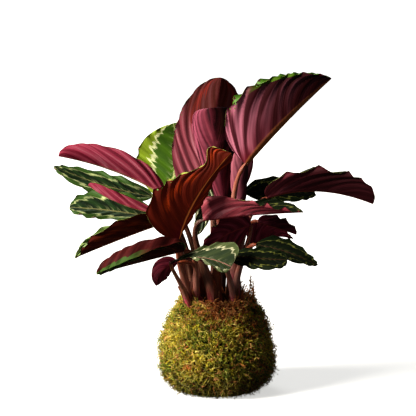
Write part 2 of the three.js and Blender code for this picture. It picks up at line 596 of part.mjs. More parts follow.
const plant = new THREE.Group();
const holes = fuse(SHOOTS.map((shoot) => crown(shoot, CROWN_HOLE, CLEARANCE)));
plant.add(piece("moss_wrap", asGeometry(mossWrap(holes)), MOSS_GREEN));
plant.add(piece("peat_core", asGeometry(peatCore(holes)), PEAT_BROWN));
plant.add(piece("binding_thread", asGeometry(bindingThread()), THREAD_OLIVE));
for (const shoot of SHOOTS) {
  plant.add(piece(shoot.name, asGeometry(shootBody(shoot)), STALK_RED));
}
for (const leaf of LEAVES) {
  plant.add(piece(leaf.name, blade(leaf), leaf.purple ? LEAF_PURPLE : LEAF_GREEN));
}

export default plant;
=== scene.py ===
# %% [markdown]
# # A kokedama: a house plant in a ball of moss
# The plant is a calathea with purple-backed, waved leaves. It grows without a pot, in a ball of
# peat that is wrapped in living moss and bound with thread. This lesson builds it in five steps:
# the leaves, the stalks, the moss bed with the peat, the moss strands and the thread. Then it sets
# up the studio around it.
# Every piece is a surface worked out from a formula, so its shape can be read and changed.

import bpy
import numpy as np
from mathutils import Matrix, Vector


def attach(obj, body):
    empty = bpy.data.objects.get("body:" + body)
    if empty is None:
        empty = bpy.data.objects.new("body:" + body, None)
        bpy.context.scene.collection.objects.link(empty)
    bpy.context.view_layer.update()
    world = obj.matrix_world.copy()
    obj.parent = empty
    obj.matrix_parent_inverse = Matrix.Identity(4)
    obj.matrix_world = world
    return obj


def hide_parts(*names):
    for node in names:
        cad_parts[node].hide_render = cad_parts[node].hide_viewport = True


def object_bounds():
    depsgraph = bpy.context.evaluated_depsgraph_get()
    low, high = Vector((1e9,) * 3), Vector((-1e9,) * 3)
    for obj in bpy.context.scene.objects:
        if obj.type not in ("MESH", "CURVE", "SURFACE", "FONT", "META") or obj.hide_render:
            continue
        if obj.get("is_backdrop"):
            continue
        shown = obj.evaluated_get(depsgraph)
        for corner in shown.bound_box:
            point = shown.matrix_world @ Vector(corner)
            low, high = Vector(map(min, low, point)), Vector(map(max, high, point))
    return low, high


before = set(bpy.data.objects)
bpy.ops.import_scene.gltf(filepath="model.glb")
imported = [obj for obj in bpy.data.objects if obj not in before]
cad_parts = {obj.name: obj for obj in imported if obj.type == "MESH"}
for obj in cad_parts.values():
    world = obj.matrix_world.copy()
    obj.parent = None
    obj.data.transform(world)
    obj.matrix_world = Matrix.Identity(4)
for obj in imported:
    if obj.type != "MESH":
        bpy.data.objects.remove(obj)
cad_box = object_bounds()
MM = 0.001
print("box of the solids:", cad_box)


# %% [markdown]
# ## Small helpers for vectors and meshes
# All shapes below are arrays of points. A helper turns a grid of points into a mesh, with faces
# that point outwards, a finish for each face and a flat map (UV) for patterns that follow the
# surface.

# %% Vectors and grids
def unit(v):
    """Each vector divided by its length."""
    return v / np.maximum(np.linalg.norm(v, axis=-1, keepdims=True), 1e-12)


def smooth_step(x, low, high):
    """0 below low, 1 above high, and an S-shaped curve between them."""
    x = np.clip((x - low) / (high - low), 0, 1)
    return x * x * (3 - 2 * x)


def grid_faces(rows, columns, closed=False):
    """Corner numbers of the squares of a grid that is stored row by row.

    The square at row r and column c has the corners (r, c), (r, c+1), (r+1, c+1) and (r+1, c), and
    a corner's number is its row times columns plus its column. closed joins the last column to the
    first, as round a tube.
    """
    spans = columns if closed else columns - 1
    r, c = np.meshgrid(np.arange(rows - 1), np.arange(spans), indexing="ij")
    near, far = r * columns, (r + 1) * columns
    after = (c + 1) % columns
    return np.stack([near + c, near + after, far + after, far + c], -1).reshape(-1, 4)


def rim_faces(rows, columns):
    """Squares that join the border of one grid to the border of a second one stored after it.

    The border is walked once round, and each square takes two neighbours on the first grid and
    the same two on the second.
    """
    count = rows * columns
    ring = np.arange(count).reshape(rows, columns)
    edge = np.concatenate([ring[:-1, 0], ring[-1, :-1], ring[:0:-1, -1], ring[0, :0:-1]])
    after = np.roll(edge, -1)
    return np.stack([edge, after, after + count, edge + count], -1)


def halved(squares):
    """Each square cut along a diagonal into two triangles."""
    return np.concatenate([squares[:, [0, 1, 2]], squares[:, [0, 2, 3]]])


print("a grid of 3 by 3 points has", len(grid_faces(3, 3)), "squares and a rim of", len(rim_faces(3, 3)))


# %% Meshes
def make_piece(name, points, faces, finishes, finish_of_face=None, uv=None):
    """A mesh object named name. points are in millimetres, faces an array of 3 or 4 corners each,
    uv a pair for each point, finish_of_face the number of the finish for each face."""
    mesh = bpy.data.meshes.new(name)
    sides = faces.shape[1]
    mesh.vertices.add(len(points))
    mesh.vertices.foreach_set("co", (np.asarray(points, float) * MM).ravel())
    mesh.loops.add(faces.size)
    mesh.loops.foreach_set("vertex_index", faces.ravel())
    mesh.polygons.add(len(faces))
    mesh.polygons.foreach_set("loop_start", np.arange(0, faces.size, sides))
    mesh.update(calc_edges=True)
    mesh.polygons.foreach_set("use_smooth", np.full(len(faces), True))
    if finish_of_face is not None:
        mesh.polygons.foreach_set("material_index", finish_of_face)
    if uv is not None:
        layer = mesh.uv_layers.new(name="surface")
        layer.data.foreach_set("uv", np.asarray(uv, float)[faces.ravel()].ravel())
    for finish in finishes:
        mesh.materials.append(finish)
    piece = bpy.data.objects.new(name, mesh)
    bpy.context.scene.collection.objects.link(piece)
    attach(piece, "root")
    return piece


def add_map(piece, name, pairs, faces):
    """A second flat map on a piece: one pair of numbers for each point."""
    layer = piece.data.uv_layers.new(name=name)
    layer.data.foreach_set("uv", np.asarray(pairs, float)[faces.ravel()].ravel())


print("a piece is worked out in millimetres and kept in metres, times", MM)


# %% [markdown]
# ## Painting with numbers
# A finish is a sheet of nodes. Most of its nodes are sums, so a number that varies over the
# surface is wrapped in a small class: adding or multiplying two of them places the Math node.
# That keeps each leaf pattern below as short as its description.

# %% Numbers that vary over a surface
class Field:
    """A number that varies over a surface: one output (socket) of one node on a sheet of nodes."""

    def __init__(self, sheet, socket):
        self.sheet = sheet
        self.socket = socket

    def _math(self, operation, *others):
        """One Math node that works on this number and the others."""
        node = self.sheet.nodes.new("ShaderNodeMath")
        node.operation = operation
        for slot, value in zip(node.inputs, (self, *others)):
            plug(self.sheet, slot, value)
        return Field(self.sheet, node.outputs[0])

    # Sums, differences and products of two Fields, or of a Field and a plain number.
    def __add__(self, other):
        return self._math("ADD", other)

    def __sub__(self, other):
        return self._math("SUBTRACT", other)

    def __mul__(self, other):
        return self._math("MULTIPLY", other)

    __radd__ = __add__
    __rmul__ = __mul__

    def __rsub__(self, other):
        return (self * -1) + other

    def size(self):
        """The number without its sign."""
        return self._math("ABSOLUTE")

    def wave(self):
        """The sine of the number, in radians."""
        return self._math("SINE")

    def teeth(self, height=1.0):
        """A zigzag between 0 and height, which rises and falls as fast as the number itself."""
        return self._math("PINGPONG", height)

    def between(self, low, high, bottom=0.0, top=1.0):
        """Runs smoothly from bottom at low to top at high, and is level outside."""
        node = self.sheet.nodes.new("ShaderNodeMapRange")
        node.interpolation_type = "SMOOTHSTEP"
        for slot, value in zip(node.inputs, (self, low, high, bottom, top)):
            plug(self.sheet, slot, value)
        return Field(self.sheet, node.outputs[0])

    def band(self, middle, width, soft):
        """1 where the number lies within width of middle, fading out over soft."""
        return 1 - (self - middle).size().between(width, width + soft)


def plug(sheet, slot, value):
    """Joins a Field to a socket, or sets the socket to a plain value."""
    if isinstance(value, Field):
        sheet.links.new(value.socket, slot)
    else:
        slot.default_value = value


print("a Field can be added, multiplied and shaped")


# %% Sheets of nodes
def new_sheet(name, roughness, **shader):
    """A finish with one Principled shader, whose uniform values are set on its own sockets."""
    finish = bpy.data.materials.new(name)
    finish.use_nodes = True
    sheet = finish.node_tree
    body = sheet.nodes["Principled BSDF"]
    body.inputs["Roughness"].default_value = roughness
    for key, value in shader.items():
        body.inputs[key.replace("_", " ")].default_value = value
    return finish, sheet, body


def surface_map(sheet, name="surface"):
    """The two numbers of the piece's own flat map, one Field each."""
    place = sheet.nodes.new("ShaderNodeUVMap")
    place.uv_map = name
    parts = sheet.nodes.new("ShaderNodeSeparateXYZ")
    sheet.links.new(place.outputs[0], parts.inputs[0])
    return Field(sheet, parts.outputs[0]), Field(sheet, parts.outputs[1])


def place_on_plant(sheet):
    """The point's place on the plant, in metres."""
    return Field(sheet, sheet.nodes.new("ShaderNodeTexCoord").outputs["Object"])


def joined(sheet, x, y, z=0.0):
    """Three numbers as one place."""
    node = sheet.nodes.new("ShaderNodeCombineXYZ")
    for slot, value in zip(node.inputs, (x, y, z)):
        plug(sheet, slot, value)
    return Field(sheet, node.outputs[0])


def grain(sheet, place, scale, detail=3.0, rough=0.55):
    """Cloudy noise round 0.5."""
    node = sheet.nodes.new("ShaderNodeTexNoise")
    plug(sheet, node.inputs["Vector"], place)
    node.inputs["Scale"].default_value = scale
    node.inputs["Detail"].default_value = detail
    node.inputs["Roughness"].default_value = rough
    return Field(sheet, node.outputs[0])


def rgb(code):
    """A colour from its six hexadecimal digits as seen on a screen, as linear light.

    The screen's curve is undone: a straight line for the darkest part, a power of 2.4 above it.
    """
    parts = np.array([int(code[i:i + 2], 16) / 255 for i in (0, 2, 4)])
    return (*np.where(parts < 0.04045, parts / 12.92, ((parts + 0.055) / 1.055) ** 2.4), 1.0)


def blend_colours(sheet, share, first, second):
    """first where share is 0, second where it is 1."""
    node = sheet.nodes.new("ShaderNodeMix")
    node.data_type = "RGBA"
    plug(sheet, node.inputs[0], share)
    for slot, colour in ((node.inputs[6], first), (node.inputs[7], second)):
        plug(sheet, slot, rgb(colour) if isinstance(colour, str) else colour)
    return Field(sheet, node.outputs[2])


def emboss(sheet, body, height, distance):
    """Fine relief: height is a Field, distance in metres."""
    node = sheet.nodes.new("ShaderNodeBump")
    node.inputs["Distance"].default_value = distance
    node.inputs["Strength"].default_value = 1.0
    plug(sheet, node.inputs["Height"], height)
    sheet.links.new(node.outputs[0], body.inputs["Normal"])


print("half grey on the screen is", round(float(rgb("808080")[0]), 3), "of full light")

# %% [markdown]
# ## The leaves, one line each
# A leaf blade is described by few numbers: where its midrib starts and ends and how it bows,
# where its upper face looks, how wide it is, how far each half is folded up and curled, and how
# many waves run along its edge. The stalk of a leaf starts at its shoot's crown in the peat.
# The numbers are in millimetres and degrees, with the middle of the ball's flat spot as zero.
# A table is chosen over 23 modelled meshes because one row can be changed without any of the rest.

# %% Leaf table
def leaf(name, shoot, foot, stalk, base, tip, bow, facing, half, right, left, outline, waves,
         under, upper, left_share=(1, 1), edge_wave=2.2, lobe=(0, 0), reach=0.23, scallop=0.06, lean=1,
         rib=1.0, shoulder=0, late=1):
    """One leaf's numbers by name.

    Stalk: foot is where it leaves the crown, stalk about its radius there, and reach the share of
    its length over which it bends into the midrib.
    Midrib: base and tip are its ends, bow how far its middle stands off the straight line between
    them, and rib scales its height.
    Blade: facing is the upper face's direction at base and tip, late holds its turn back towards
    the tip. half is half the width and left_share the left half's part of it at base and tip.
    right and left are the halves seen from above, each as fold at base and tip, then curl at base
    and tip. outline holds the two powers of the outline, shoulder widens it before the tip, and
    lobe widens it at the base and draws its edge back past the base.
    Edge: waves counts the waves, edge_wave is their height, scallop how deep the edge is notched,
    and lean how many waves further on a side vein has got by the time it meets the edge.
    Finish: under and upper name the finishes of the two faces.
    """
    return dict(locals())


# Each row: name, shoot, foot, stalk, base, tip, bow, then facing, half, right, left, outline and
# waves, then the finishes, and last what differs from the usual.
LEAVES = [
    leaf("leaf_tall_rear", "shoot_middle", (1, 13), 7, (0, 42, 225), (6, 59, 375), (-7, 3, -4),
         ((0, 1, 0.1), (0, 1, 0.25)), 62, (25, 25, 15, 20), (25, 25, 20, 20), (0.4, 0.55), 6,
         "banded_to_red", "deep", scallop=0.07, edge_wave=2.4, lean=4),
    leaf("leaf_rolled_middle", "shoot_middle", (3, 5), 6.5, (12, 8, 203), (-8, 14, 340), (-1, 0, -3),
         ((0.15, 1, 0), (0.1, 1, 0.1)), 52, (25, 15, 90, 70), (25, 15, 90, 70), (0.7, 0.22), 5,
         "rolled", "fresh", scallop=0.03, edge_wave=1.0, lean=5, rib=0),
    leaf("leaf_high_right", "shoot_right", (19, -12), 8.5, (33, -34, 277), (132, -34, 377), (-2, 0, 1),
         ((-0.5, 0.71, 0.5), (-0.7, 0.17, 0.69)), 60, (58, 55, 8, 8), (80, 88, 0, 0), (0.38, 0.72), 7,
         "banded_high", "fresh", left_share=(1.45, 0.92), lean=2, edge_wave=2.6, scallop=0.11, rib=1.9),
    leaf("leaf_level_right", "shoot_right", (20, 3), 5, (59, -14, 235), (182, -42, 231), (-2, -1, 12),
         ((0, 0, 1), (-0.1, 0, 1)), 34, (45, 60, 0, 20), (20, 10, 0, -20), (0.38, 0.36), 6,
         "banded_level", "shade", lean=2, scallop=0.1),
    leaf("leaf_long_left", "shoot_rear_left", (-16, 5), 5, (-65, 6, 238), (-189, -2, 284), (5, -1, 5),
         ((0, 0.1, 1), (0, 0.1, 1)), 28, (20, 20, 0, 10), (38, 30, 90, 90), (0.5, 0.42), 6,
         "crimson", "fresh", edge_wave=0.8, scallop=0.02, lean=2, rib=1.6),
    leaf("leaf_upper_left", "shoot_rear_left", (-24, 14), 4, (-79, 33, 231), (-200, 42, 267), (0, 1, -4),
         ((-0.1, -0.45, 0.9), (-0.1, -0.45, 0.9)), 25, (0, 0, 10, 0), (0, 0, 0, 0), (0.55, 0.7), 5,
         "crimson", "leafy", left_share=(0.93, 0.93), scallop=0.02, edge_wave=1.2),
    leaf("leaf_broad_left", "shoot_rear_left", (-28, 5), 4, (-75, -12, 211), (-175, -18, 224), (1, -1, 2),
         ((-0.1, -0.4, 0.92), (-0.1, -0.4, 0.92)), 42, (6, 6, 0, 0), (5, 0, 10, 10), (0.5, 0.45), 5,
         "crimson", "leafy", left_share=(0.6, 0.62), scallop=0.02, edge_wave=1.2),
    leaf("leaf_young_left", "shoot_rear_left", (-25, 0), 3.5, (-72, -38, 220), (-151, -38, 253),
         (-4, -2, -4), ((0, 0, 1), (0, 0, 1)), 12, (60, 60, 40, 40), (55, 55, 40, 40), (0.5, 0.4), 4,
         "crimson", "fresh", edge_wave=0.5, scallop=0.02),
    leaf("leaf_rear_left", "shoot_rear_left", (-14, 16), 4.5, (-64, 88, 220), (-55, 112, 316), (8, 7, 1),
         ((-0.1, -1, 0.3), (0, -1, 0.4)), 50, (10, 10, 10, 10), (10, 10, -10, -10), (0.4, 0.36), 5,
         "crimson", "bright", scallop=0.03, edge_wave=1.6),
    leaf("leaf_front_large", "shoot_front_left", (-31, -17), 6.5, (-45, -68, 191), (15, -93, 295),
         (-8, -3, 1), ((-0.5, 0.5, 0.5), (-0.4, 0.6, 0.5)), 50, (10, 50, 15, 20), (18, 22, 0, 10),
         (0.85, 1.95), 9,
         "glowing", "fresh", lean=2, shoulder=0.5, left_share=(0.02, 1.2), scallop=0.09),
    leaf("leaf_folded_left", "shoot_front_left", (-35, -13), 4.5, (-67, -52, 209), (-164, -72, 172),
         (-1, -3, 1), ((0, 0, 1), (0.2, -0.9, 0.4)), 27, (10, 48, 10, 40), (45, 45, 20, 40),
         (0.35, 0.7), 5,
         "brown", "pale", edge_wave=1.8, late=9),
    leaf("leaf_scrolled_left", "shoot_front_left", (-24, -21), 4.5, (-38, -70, 180), (-137, -94, 157),
         (-1, -7, 1), ((0, 0, 1), (0, 0, 1)), 60, (75, 75, 140, 190), (52, 5, 0, 0), (0.5, 0.6), 6,
         "scrolled", "pale", left_share=(0.5, 0.27), scallop=0.04, edge_wave=1.6),
    leaf("leaf_small_drooping", "shoot_front_left", (-36, -20), 2.6, (-46, -64, 165), (-70, -80, 141),
         (-5, -1, 5), ((0.1, 1, 0.2), (0.1, 1, 0.2)), 12.5, (20, 20, 10, 10), (20, 20, 10, 10),
         (0.55, 0.75), 3,
         "wine", "deep", edge_wave=0.5, scallop=0.03, rib=0.4, reach=0.6),
    leaf("leaf_front_spoon", "shoot_front_left", (-33, -26), 3.2, (-53, -84, 168), (15, -116, 169),
         (-2, -3, 9), ((0, 0.1, 1), (0.3, -0.9, 0.5)), 12, (0, 0, 0, 0), (50, 0, 40, 0), (1.6, 0.25), 5,
         "dark", "silvered", left_share=(2.3, 2.5), reach=0.08, scallop=0.03, edge_wave=1.0, late=2),
    leaf("leaf_front_right", "shoot_front", (-3, -22), 7.3, (-16, -53, 213), (98, -80, 226), (-2, -2, 2),
         ((0, 0.1, 1), (0, 0, 1)), 30, (86, 16, 0, 10), (20, 50, 10, 10), (0.2, 0.85), 6,
         "banded_front", "shade", left_share=(0.57, 1.7), lobe=(0.3, 0.05), reach=0.28, lean=2,
         edge_wave=1.6, scallop=0.04),
    leaf("leaf_low_middle", "shoot_right", (16, -16), 5, (39, -36, 204.5), (-19, -56, 177), (2, -1, 6),
         ((0.1, 0.6, 0.8), (0.1, 0.6, 0.8)), 30, (-20, -20, 0, 0), (30, 30, 10, 10), (0.55, 0.7), 5,
         "wine", "deep", left_share=(1, 0.45), reach=0.08),
    leaf("leaf_pointed_right", "shoot_right", (20, -14), 4, (45, -50, 184), (116, -68, 163), (0, -4, 4),
         ((0.1, -0.4, 0.9), (0.2, -0.4, 0.9)), 13, (-20, -10, 0, 0), (20, 10, 0, 0), (0.55, 0.7), 5,
         "dark", "shade", left_share=(1.8, 1.2), edge_wave=1.2, scallop=0.02),
    leaf("leaf_low_right", "shoot_right", (20, -19), 4, (15, -76, 176), (79, -92, 173), (-1, -6, 0),
         ((0.1, -0.6, 0.8), (0.1, -0.6, 0.8)), 19, (10, 10, -10, -10), (0, 0, 10, 10), (0.5, 0.4), 5,
         "dark", "shade", left_share=(0.9, 0.9), edge_wave=1.2, scallop=0.02),
    leaf("leaf_rear_right", "shoot_right", (19, 12), 4, (35, 24, 236), (122, 40, 232), (-1, 3, 6),
         ((0, -0.7, 0.7), (0, -0.7, 0.7)), 20, (0, 0, 0, 0), (0, 0, 0, 0), (0.55, 0.7), 5,
         "dark", "shade", edge_wave=1.6, scallop=0.03),
    leaf("leaf_under_right", "shoot_right", (21, 5), 4, (43, 10, 173), (93, 18, 181), (-2, 2, 7),
         ((0, 0.3, 1), (0, 0.3, 1)), 26, (60, 50, 10, 10), (30, 30, 0, 0), (0.4, 1.2), 5,
         "wine", "deep", reach=0.4),
    leaf("leaf_narrow_right", "shoot_right", (21, -5), 3.5, (48, -24, 208), (93, -34, 194), (-1, -1, 1),
         ((0, 0.2, 1), (0, 0.2, 1)), 18, (50, 30, 10, 10), (30, 30, 0, 0), (0.5, 0.4), 4,
         "dark", "deep", edge_wave=1.2),
    leaf("leaf_hanging_middle", "shoot_front", (-1, -17), 6.5, (-10, -8, 246), (-25, -26, 191), (2, -2, 1),
         ((0.2, -1, 0.3), (0.2, -1, 0.3)), 10, (10, 10, 10, 10), (10, 10, 10, 10), (0.55, 0.7), 4,
         "dark", "silvered", edge_wave=1.0, scallop=0.04),
    leaf("leaf_spear_right", "shoot_right", (14, 2), 5, (27, -4, 210), (28, 2, 290), (-1, 0, 0),
         ((0, 1, 0), (0, 1, 0)), 26, (0, 0, 150, 150), (0, 0, 150, 150), (0.5, 0.3), 4,
         "rosy", "deep", edge_wave=0.5, scallop=0.02, lean=4, rib=0),
]
blade_lengths = [np.linalg.norm(np.subtract(one["tip"], one["base"])) for one in LEAVES]
print(len(LEAVES), f"leaves, {min(blade_lengths):.0f} to {max(blade_lengths):.0f} mm from base to tip")

# %% [markdown]
# ## The shape of a blade
# A real blade is a sheet about a third of a millimetre thick, held by a midrib that stands out
# below. Side veins leave the midrib and sweep towards the tip. Between them the sheet is pleated,
# and as the edge grows faster than the middle it ruffles. It could be modelled by hand from a
# plane, but 23 blades that all differ are better made from one formula: two numbers, the place
# along the midrib and the distance out from it, give each point.

# %% Midrib and outline
SHOULDER_AT = 0.93
SHOULDER_LENGTH = 0.1


def midrib(one, along):
    """Straight line from base to tip plus the bow, which is a parabola that is zero at both ends."""
    base, tip, bow = (np.array(one[key], float) for key in ("base", "tip", "bow"))
    return base + (tip - base) * along + 4 * along * (1 - along) * bow


def midrib_way(one, along):
    """The direction of the midrib: the derivative of midrib()."""
    base, tip, bow = (np.array(one[key], float) for key in ("base", "tip", "bow"))
    return unit((tip - base) + (4 - 8 * along) * bow)


def outline_share(one, along):
    """Width as a share of the widest: a power of the distance from the base times a power of the
    distance from the tip, so the two powers set how round each end is. A shoulder widens the
    blade again shortly before a blunt tip, as a bell-shaped curve that is cut off at the tip."""
    widen, narrow = one["outline"]
    widest = widen / (widen + narrow)
    along = np.clip(along, 0, 1)
    bell = np.exp(-((along - SHOULDER_AT) / SHOULDER_LENGTH) ** 2)
    shoulder = one["shoulder"] * bell * (1 - along ** 20)
    return (along / widest) ** widen * ((1 - along) / (1 - widest)) ** narrow + shoulder


widest_at = [one["outline"][0] / sum(one["outline"]) for one in LEAVES]
print(f"blades are widest at {min(widest_at):.2f} to {max(widest_at):.2f} of their length")

# %% The blade formula
VEIN_SWEEP = 0.21
VEIN_UNEVEN = 0.14
PLEAT_HEIGHT = 0.8
RUFFLE_SHARE = 0.15
RUFFLES_PER_WAVE = 17
NARROWEST = 0.5
WIDER_AT_BASE = 1.4


def vein_number(one, vein, across, lean):
    """How many waves lie between the base and this point. The halves are half a wave apart, and
    the number falls by lean on the way out, so a line of one number leans towards the tip."""
    return vein * one["waves"] + np.where(across < 0, 0.5, 0) - lean * np.abs(across)


def blade_sheet(one, vein, across):
    """Points of the blade's middle surface.

    vein is 0 at the base vein and 1 at the tip, across is -1 at the left edge and 1 at the right.
    A point sits along the midrib where its side vein has swept to. Each half turns up by the fold
    and curls on at a steady rate, so its cross-section is an arc. Waves are added square to the
    sheet: round pleats inside that turn into sharp scallops at the edge, with smaller ruffles.
    calm takes the waves down to nothing at both ends and makes their height uneven between.
    """
    out = np.abs(across)
    left = across < 0
    start, back = one["lobe"]
    spaced = vein + VEIN_UNEVEN * vein * (1 - vein) * np.sin(10.7 * vein + one["half"])
    swept = VEIN_SWEEP * out ** 1.4 * 4 * spaced * (1 - spaced)
    along = spaced + swept - back * out ** 2 * (1 - spaced) ** 4 * np.minimum(1, 30 * spaced)
    outline_along = spaced + swept + start * (1 - spaced) ** 4

    way = midrib_way(one, along)
    first, last = (np.array(face, float) for face in one["facing"])
    turned = np.clip(along, 0, 1) ** one["late"]
    facing = first * (1 - turned) + last * turned
    up = unit(facing - np.sum(facing * way, -1, keepdims=True) * way)
    side = np.cross(way, up) * np.where(left, -1, 1)

    count = vein_number(one, vein, across, min(one["lean"], 2))
    uneven = 1 + 0.4 * np.sin(8.2 * vein + 2 * one["half"])
    calm = np.sqrt(np.clip(np.sin(np.pi * vein), 0, 1)) * uneven
    cusp = np.abs(np.sin(np.pi * count))

    halves = [np.where(left, a, b) for a, b in zip(one["left"], one["right"])]
    fold = np.radians(halves[0] + (halves[1] - halves[0]) * along)
    curl = np.radians(halves[2] + (halves[3] - halves[2]) * along)
    curl = np.where(np.abs(curl) < 1e-3, 1e-3, curl)
    at_base, at_tip = (np.where(left, share, 1) for share in one["left_share"])
    width = one["half"] * (at_base + (at_tip - at_base) * along) * outline_share(one, outline_along)
    width = np.maximum(width, NARROWEST + WIDER_AT_BASE * (1 - along))
    width = width * (1 + one["scallop"] * out ** 4 * (0.5 - cusp) * calm)
    turn = fold + curl * out
    sideways = width / curl * (np.sin(turn) - np.sin(fold))
    upwards = width / curl * (np.cos(fold) - np.cos(turn))

    pleat = (1 - out ** 2) * np.cos(2 * np.pi * count) + out ** 2 * (1 - 2 * cusp)
    height = PLEAT_HEIGHT * np.sqrt(out) + one["edge_wave"] * out ** 3
    shaken = np.sin(RUFFLES_PER_WAVE * count + 2 * np.sin(5 * count + one["half"]))
    ruffle = RUFFLE_SHARE * one["edge_wave"] * out ** 6 * shaken
    wave = (height * pleat + ruffle) * calm
    middle = midrib(one, along)
    return middle + side * (sideways - wave * np.sin(turn)) + up * (upwards + wave * np.cos(turn))


edge = blade_sheet(LEAVES[0], np.linspace(0, 1, 60)[:, None, None], np.array([-1.0, 1.0])[None, :, None])
print(f"the first blade is up to {np.linalg.norm(edge[:, 1] - edge[:, 0], axis=-1).max():.0f} mm across")


# %% [markdown]
# The sheet gets its thickness by moving a copy to each side along the surface's own direction.
# Three things ride on that: the midrib below, the fine ridges of the side veins, and a rim strip
# round the outside that closes the two copies into one body. The two faces and the rim keep
# separate finishes, because the real leaf is green above, purple below and pale at the very edge.

# %% Blades with two faces
BLADE_ROWS = 97
BLADE_COLUMNS = 37
BLADE_THICKNESS = 0.45
MIDRIB_HEIGHT = 1.5
MIDRIB_REACH = 2.2
VEIN_RIDGE = 0.07
RIDGES_PER_WAVE = 3
FIRST_VEIN = 20


def build_blade(one, finishes):
    """Upper copy, lower copy and rim of one blade, as one closed mesh.

    Rows of the grid lie closer at base and tip, columns closer at the edges. The midrib is a
    bell-shaped curve across that stands out below and leaves a shallow groove above. The side
    veins are a fine sine along the vein number. Both are added to or taken from the distance of a
    copy from the sheet. The map "surface" holds the place along and
    across, the map "veins" the vein number, counted from FIRST_VEIN, and the distance out.
    """
    vein = (1 - np.cos(np.pi * np.linspace(0.02, 0.98, BLADE_ROWS) ** 0.97)) / 2
    vein = ((vein - vein[0]) / (vein[-1] - vein[0]))[:, None, None]
    spread = np.linspace(-1, 1, BLADE_COLUMNS)
    across = (np.sign(spread) * np.abs(spread) ** 0.9)[None, :, None]
    sheet = blade_sheet(one, vein, across)
    along_step = np.gradient(sheet, axis=0)
    across_step = np.gradient(sheet, axis=1)
    away = -unit(np.cross(along_step, across_step))

    out = np.abs(across)
    fade = 1 - 0.75 * vein
    from_rib = out * one["half"] / MIDRIB_REACH
    rib = MIDRIB_HEIGHT * one["rib"] * fade * np.exp(-from_rib ** 2)
    number = vein_number(one, vein, across, one["lean"])
    ridge = VEIN_RIDGE * np.sin(2 * np.pi * number * RIDGES_PER_WAVE)
    veins = ridge * smooth_step(out, 0.03, 0.15) * (1 - out ** 4)
    half = BLADE_THICKNESS / 2 * (1 - 0.5 * out ** 8)
    upper = sheet + away * (half + veins - 0.25 * rib)
    lower = sheet - away * (half - veins + rib)

    count = BLADE_ROWS * BLADE_COLUMNS
    squares = grid_faces(BLADE_ROWS, BLADE_COLUMNS)
    rim = rim_faces(BLADE_ROWS, BLADE_COLUMNS)
    faces = np.concatenate([squares, squares[:, ::-1] + count, rim[:, ::-1]])
    kinds = np.repeat([0, 1, 2], [len(squares), len(squares), len(rim)])
    flat = np.stack(np.broadcast_arrays(vein[..., 0], 0.5 + 0.5 * across[..., 0]), -1).reshape(-1, 2)
    points = np.concatenate([upper.reshape(-1, 3), lower.reshape(-1, 3)])
    piece = make_piece(one["name"] + "_blade", points, faces, finishes, kinds, np.concatenate([flat, flat]))
    lines = np.stack(np.broadcast_arrays(number[..., 0] + FIRST_VEIN, out[..., 0]), -1).reshape(-1, 2)
    add_map(piece, "veins", np.concatenate([lines, lines]), faces)
    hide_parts(one["name"])
    return len(faces)


print("points of one blade:", 2 * BLADE_ROWS * BLADE_COLUMNS)


# %% [markdown]
# ## The leaf's finishes
# Above, a rose-painted calathea is dark green between its veins. A cream ring, feathered along the
# veins, runs round at about two thirds of the way out, the margin outside it is a lighter green,
# and pale strokes leave the pink midrib. Below, the blade is wine-purple with lighter and darker
# bands that follow the veins. Where the light comes through a blade the ring shows as a glow, which
# is painted into the colours of the lower face, and some lower faces shine a little in their own
# colours, a painted glow of the light that comes through.
# A painted picture could carry this, but numbers worked out from the blade's own map stay sharp,
# differ from leaf to leaf, and stay on the leaf however it bends. The map gives the place along
# and across the blade, and the vein number, so a zigzag of that number makes bands along the
# veins, and clouds of noise break the bands up.

# %% Upper face
def upper_face(name, deep, light, margin, ring, rib="a8604c", ring_at=0.64, strength=1.0, rough=0.55,
               wide=1.0, shine=0.3):
    """Green bands, feathered ring, margin, midrib strokes and midrib.

    deep and light are the greens of the bands, margin the green outside the ring, ring the colour
    of the ring and strokes, rib that of the midrib. ring_at is how far out the ring runs, wide
    scales its width, strength says how clearly it shows, rough and shine how the face reflects.
    feather is a zigzag along the vein number and quill a finer one, and both push the ring's
    distance in and out.
    """
    finish, sheet, body = new_sheet(name, rough, Specular_IOR_Level=shine)
    along, across = surface_map(sheet)
    count, out = surface_map(sheet, "veins")
    mottle = grain(sheet, place_on_plant(sheet), 60, 4)
    drift = grain(sheet, joined(sheet, count * 0.7, out * 1.2, across), 1.0, 2)
    streak = grain(sheet, joined(sheet, count * 6, out * 1.5), 1.6, 4, 0.7)
    count = count + drift * 0.5
    feather = count.teeth(0.5) * 2 - 0.5
    quill = (count * 4.3 + streak * 3).teeth(1.0) - 0.5
    green = blend_colours(sheet, feather.between(-0.4, 0.5) * 0.6 + mottle * 0.6 - 0.2, deep, light)
    ends = (along - 0.5).size().between(0.3, 0.5) * 0.12
    distance = out - ring_at + ends + feather * 0.12 + quill * 0.12 + drift * 0.1 - 0.05
    green = blend_colours(sheet, distance.between(0.0, 0.08) * 0.85, green, margin)
    broken = distance.band(0.0, 0.03 * wide, 0.06 * wide) * streak.between(0.3, 0.5)
    cream = broken * drift.between(0.3, 0.5, 0.35, 1.0)
    green = blend_colours(sheet, cream * strength, green, ring)
    near_rib = 1 - (out + quill * 0.2).between(0.05, 0.34)
    strokes = near_rib * quill.between(0.0, 0.4) * streak.between(0.4, 0.6)
    green = blend_colours(sheet, strokes * 0.6 * strength, green, ring)
    colour = blend_colours(sheet, 1 - out.between(0.014, 0.035), green, rib)
    sheet.links.new(colour.socket, body.inputs["Base Color"])
    emboss(sheet, body, (count * 8).teeth(1.0) * 0.4 + mottle * 0.5, 0.0003)
    return finish


print("upper faces can be made: bands, margin, ring, strokes and midrib")

# %% Lower face
FULL_TURN = 6.283


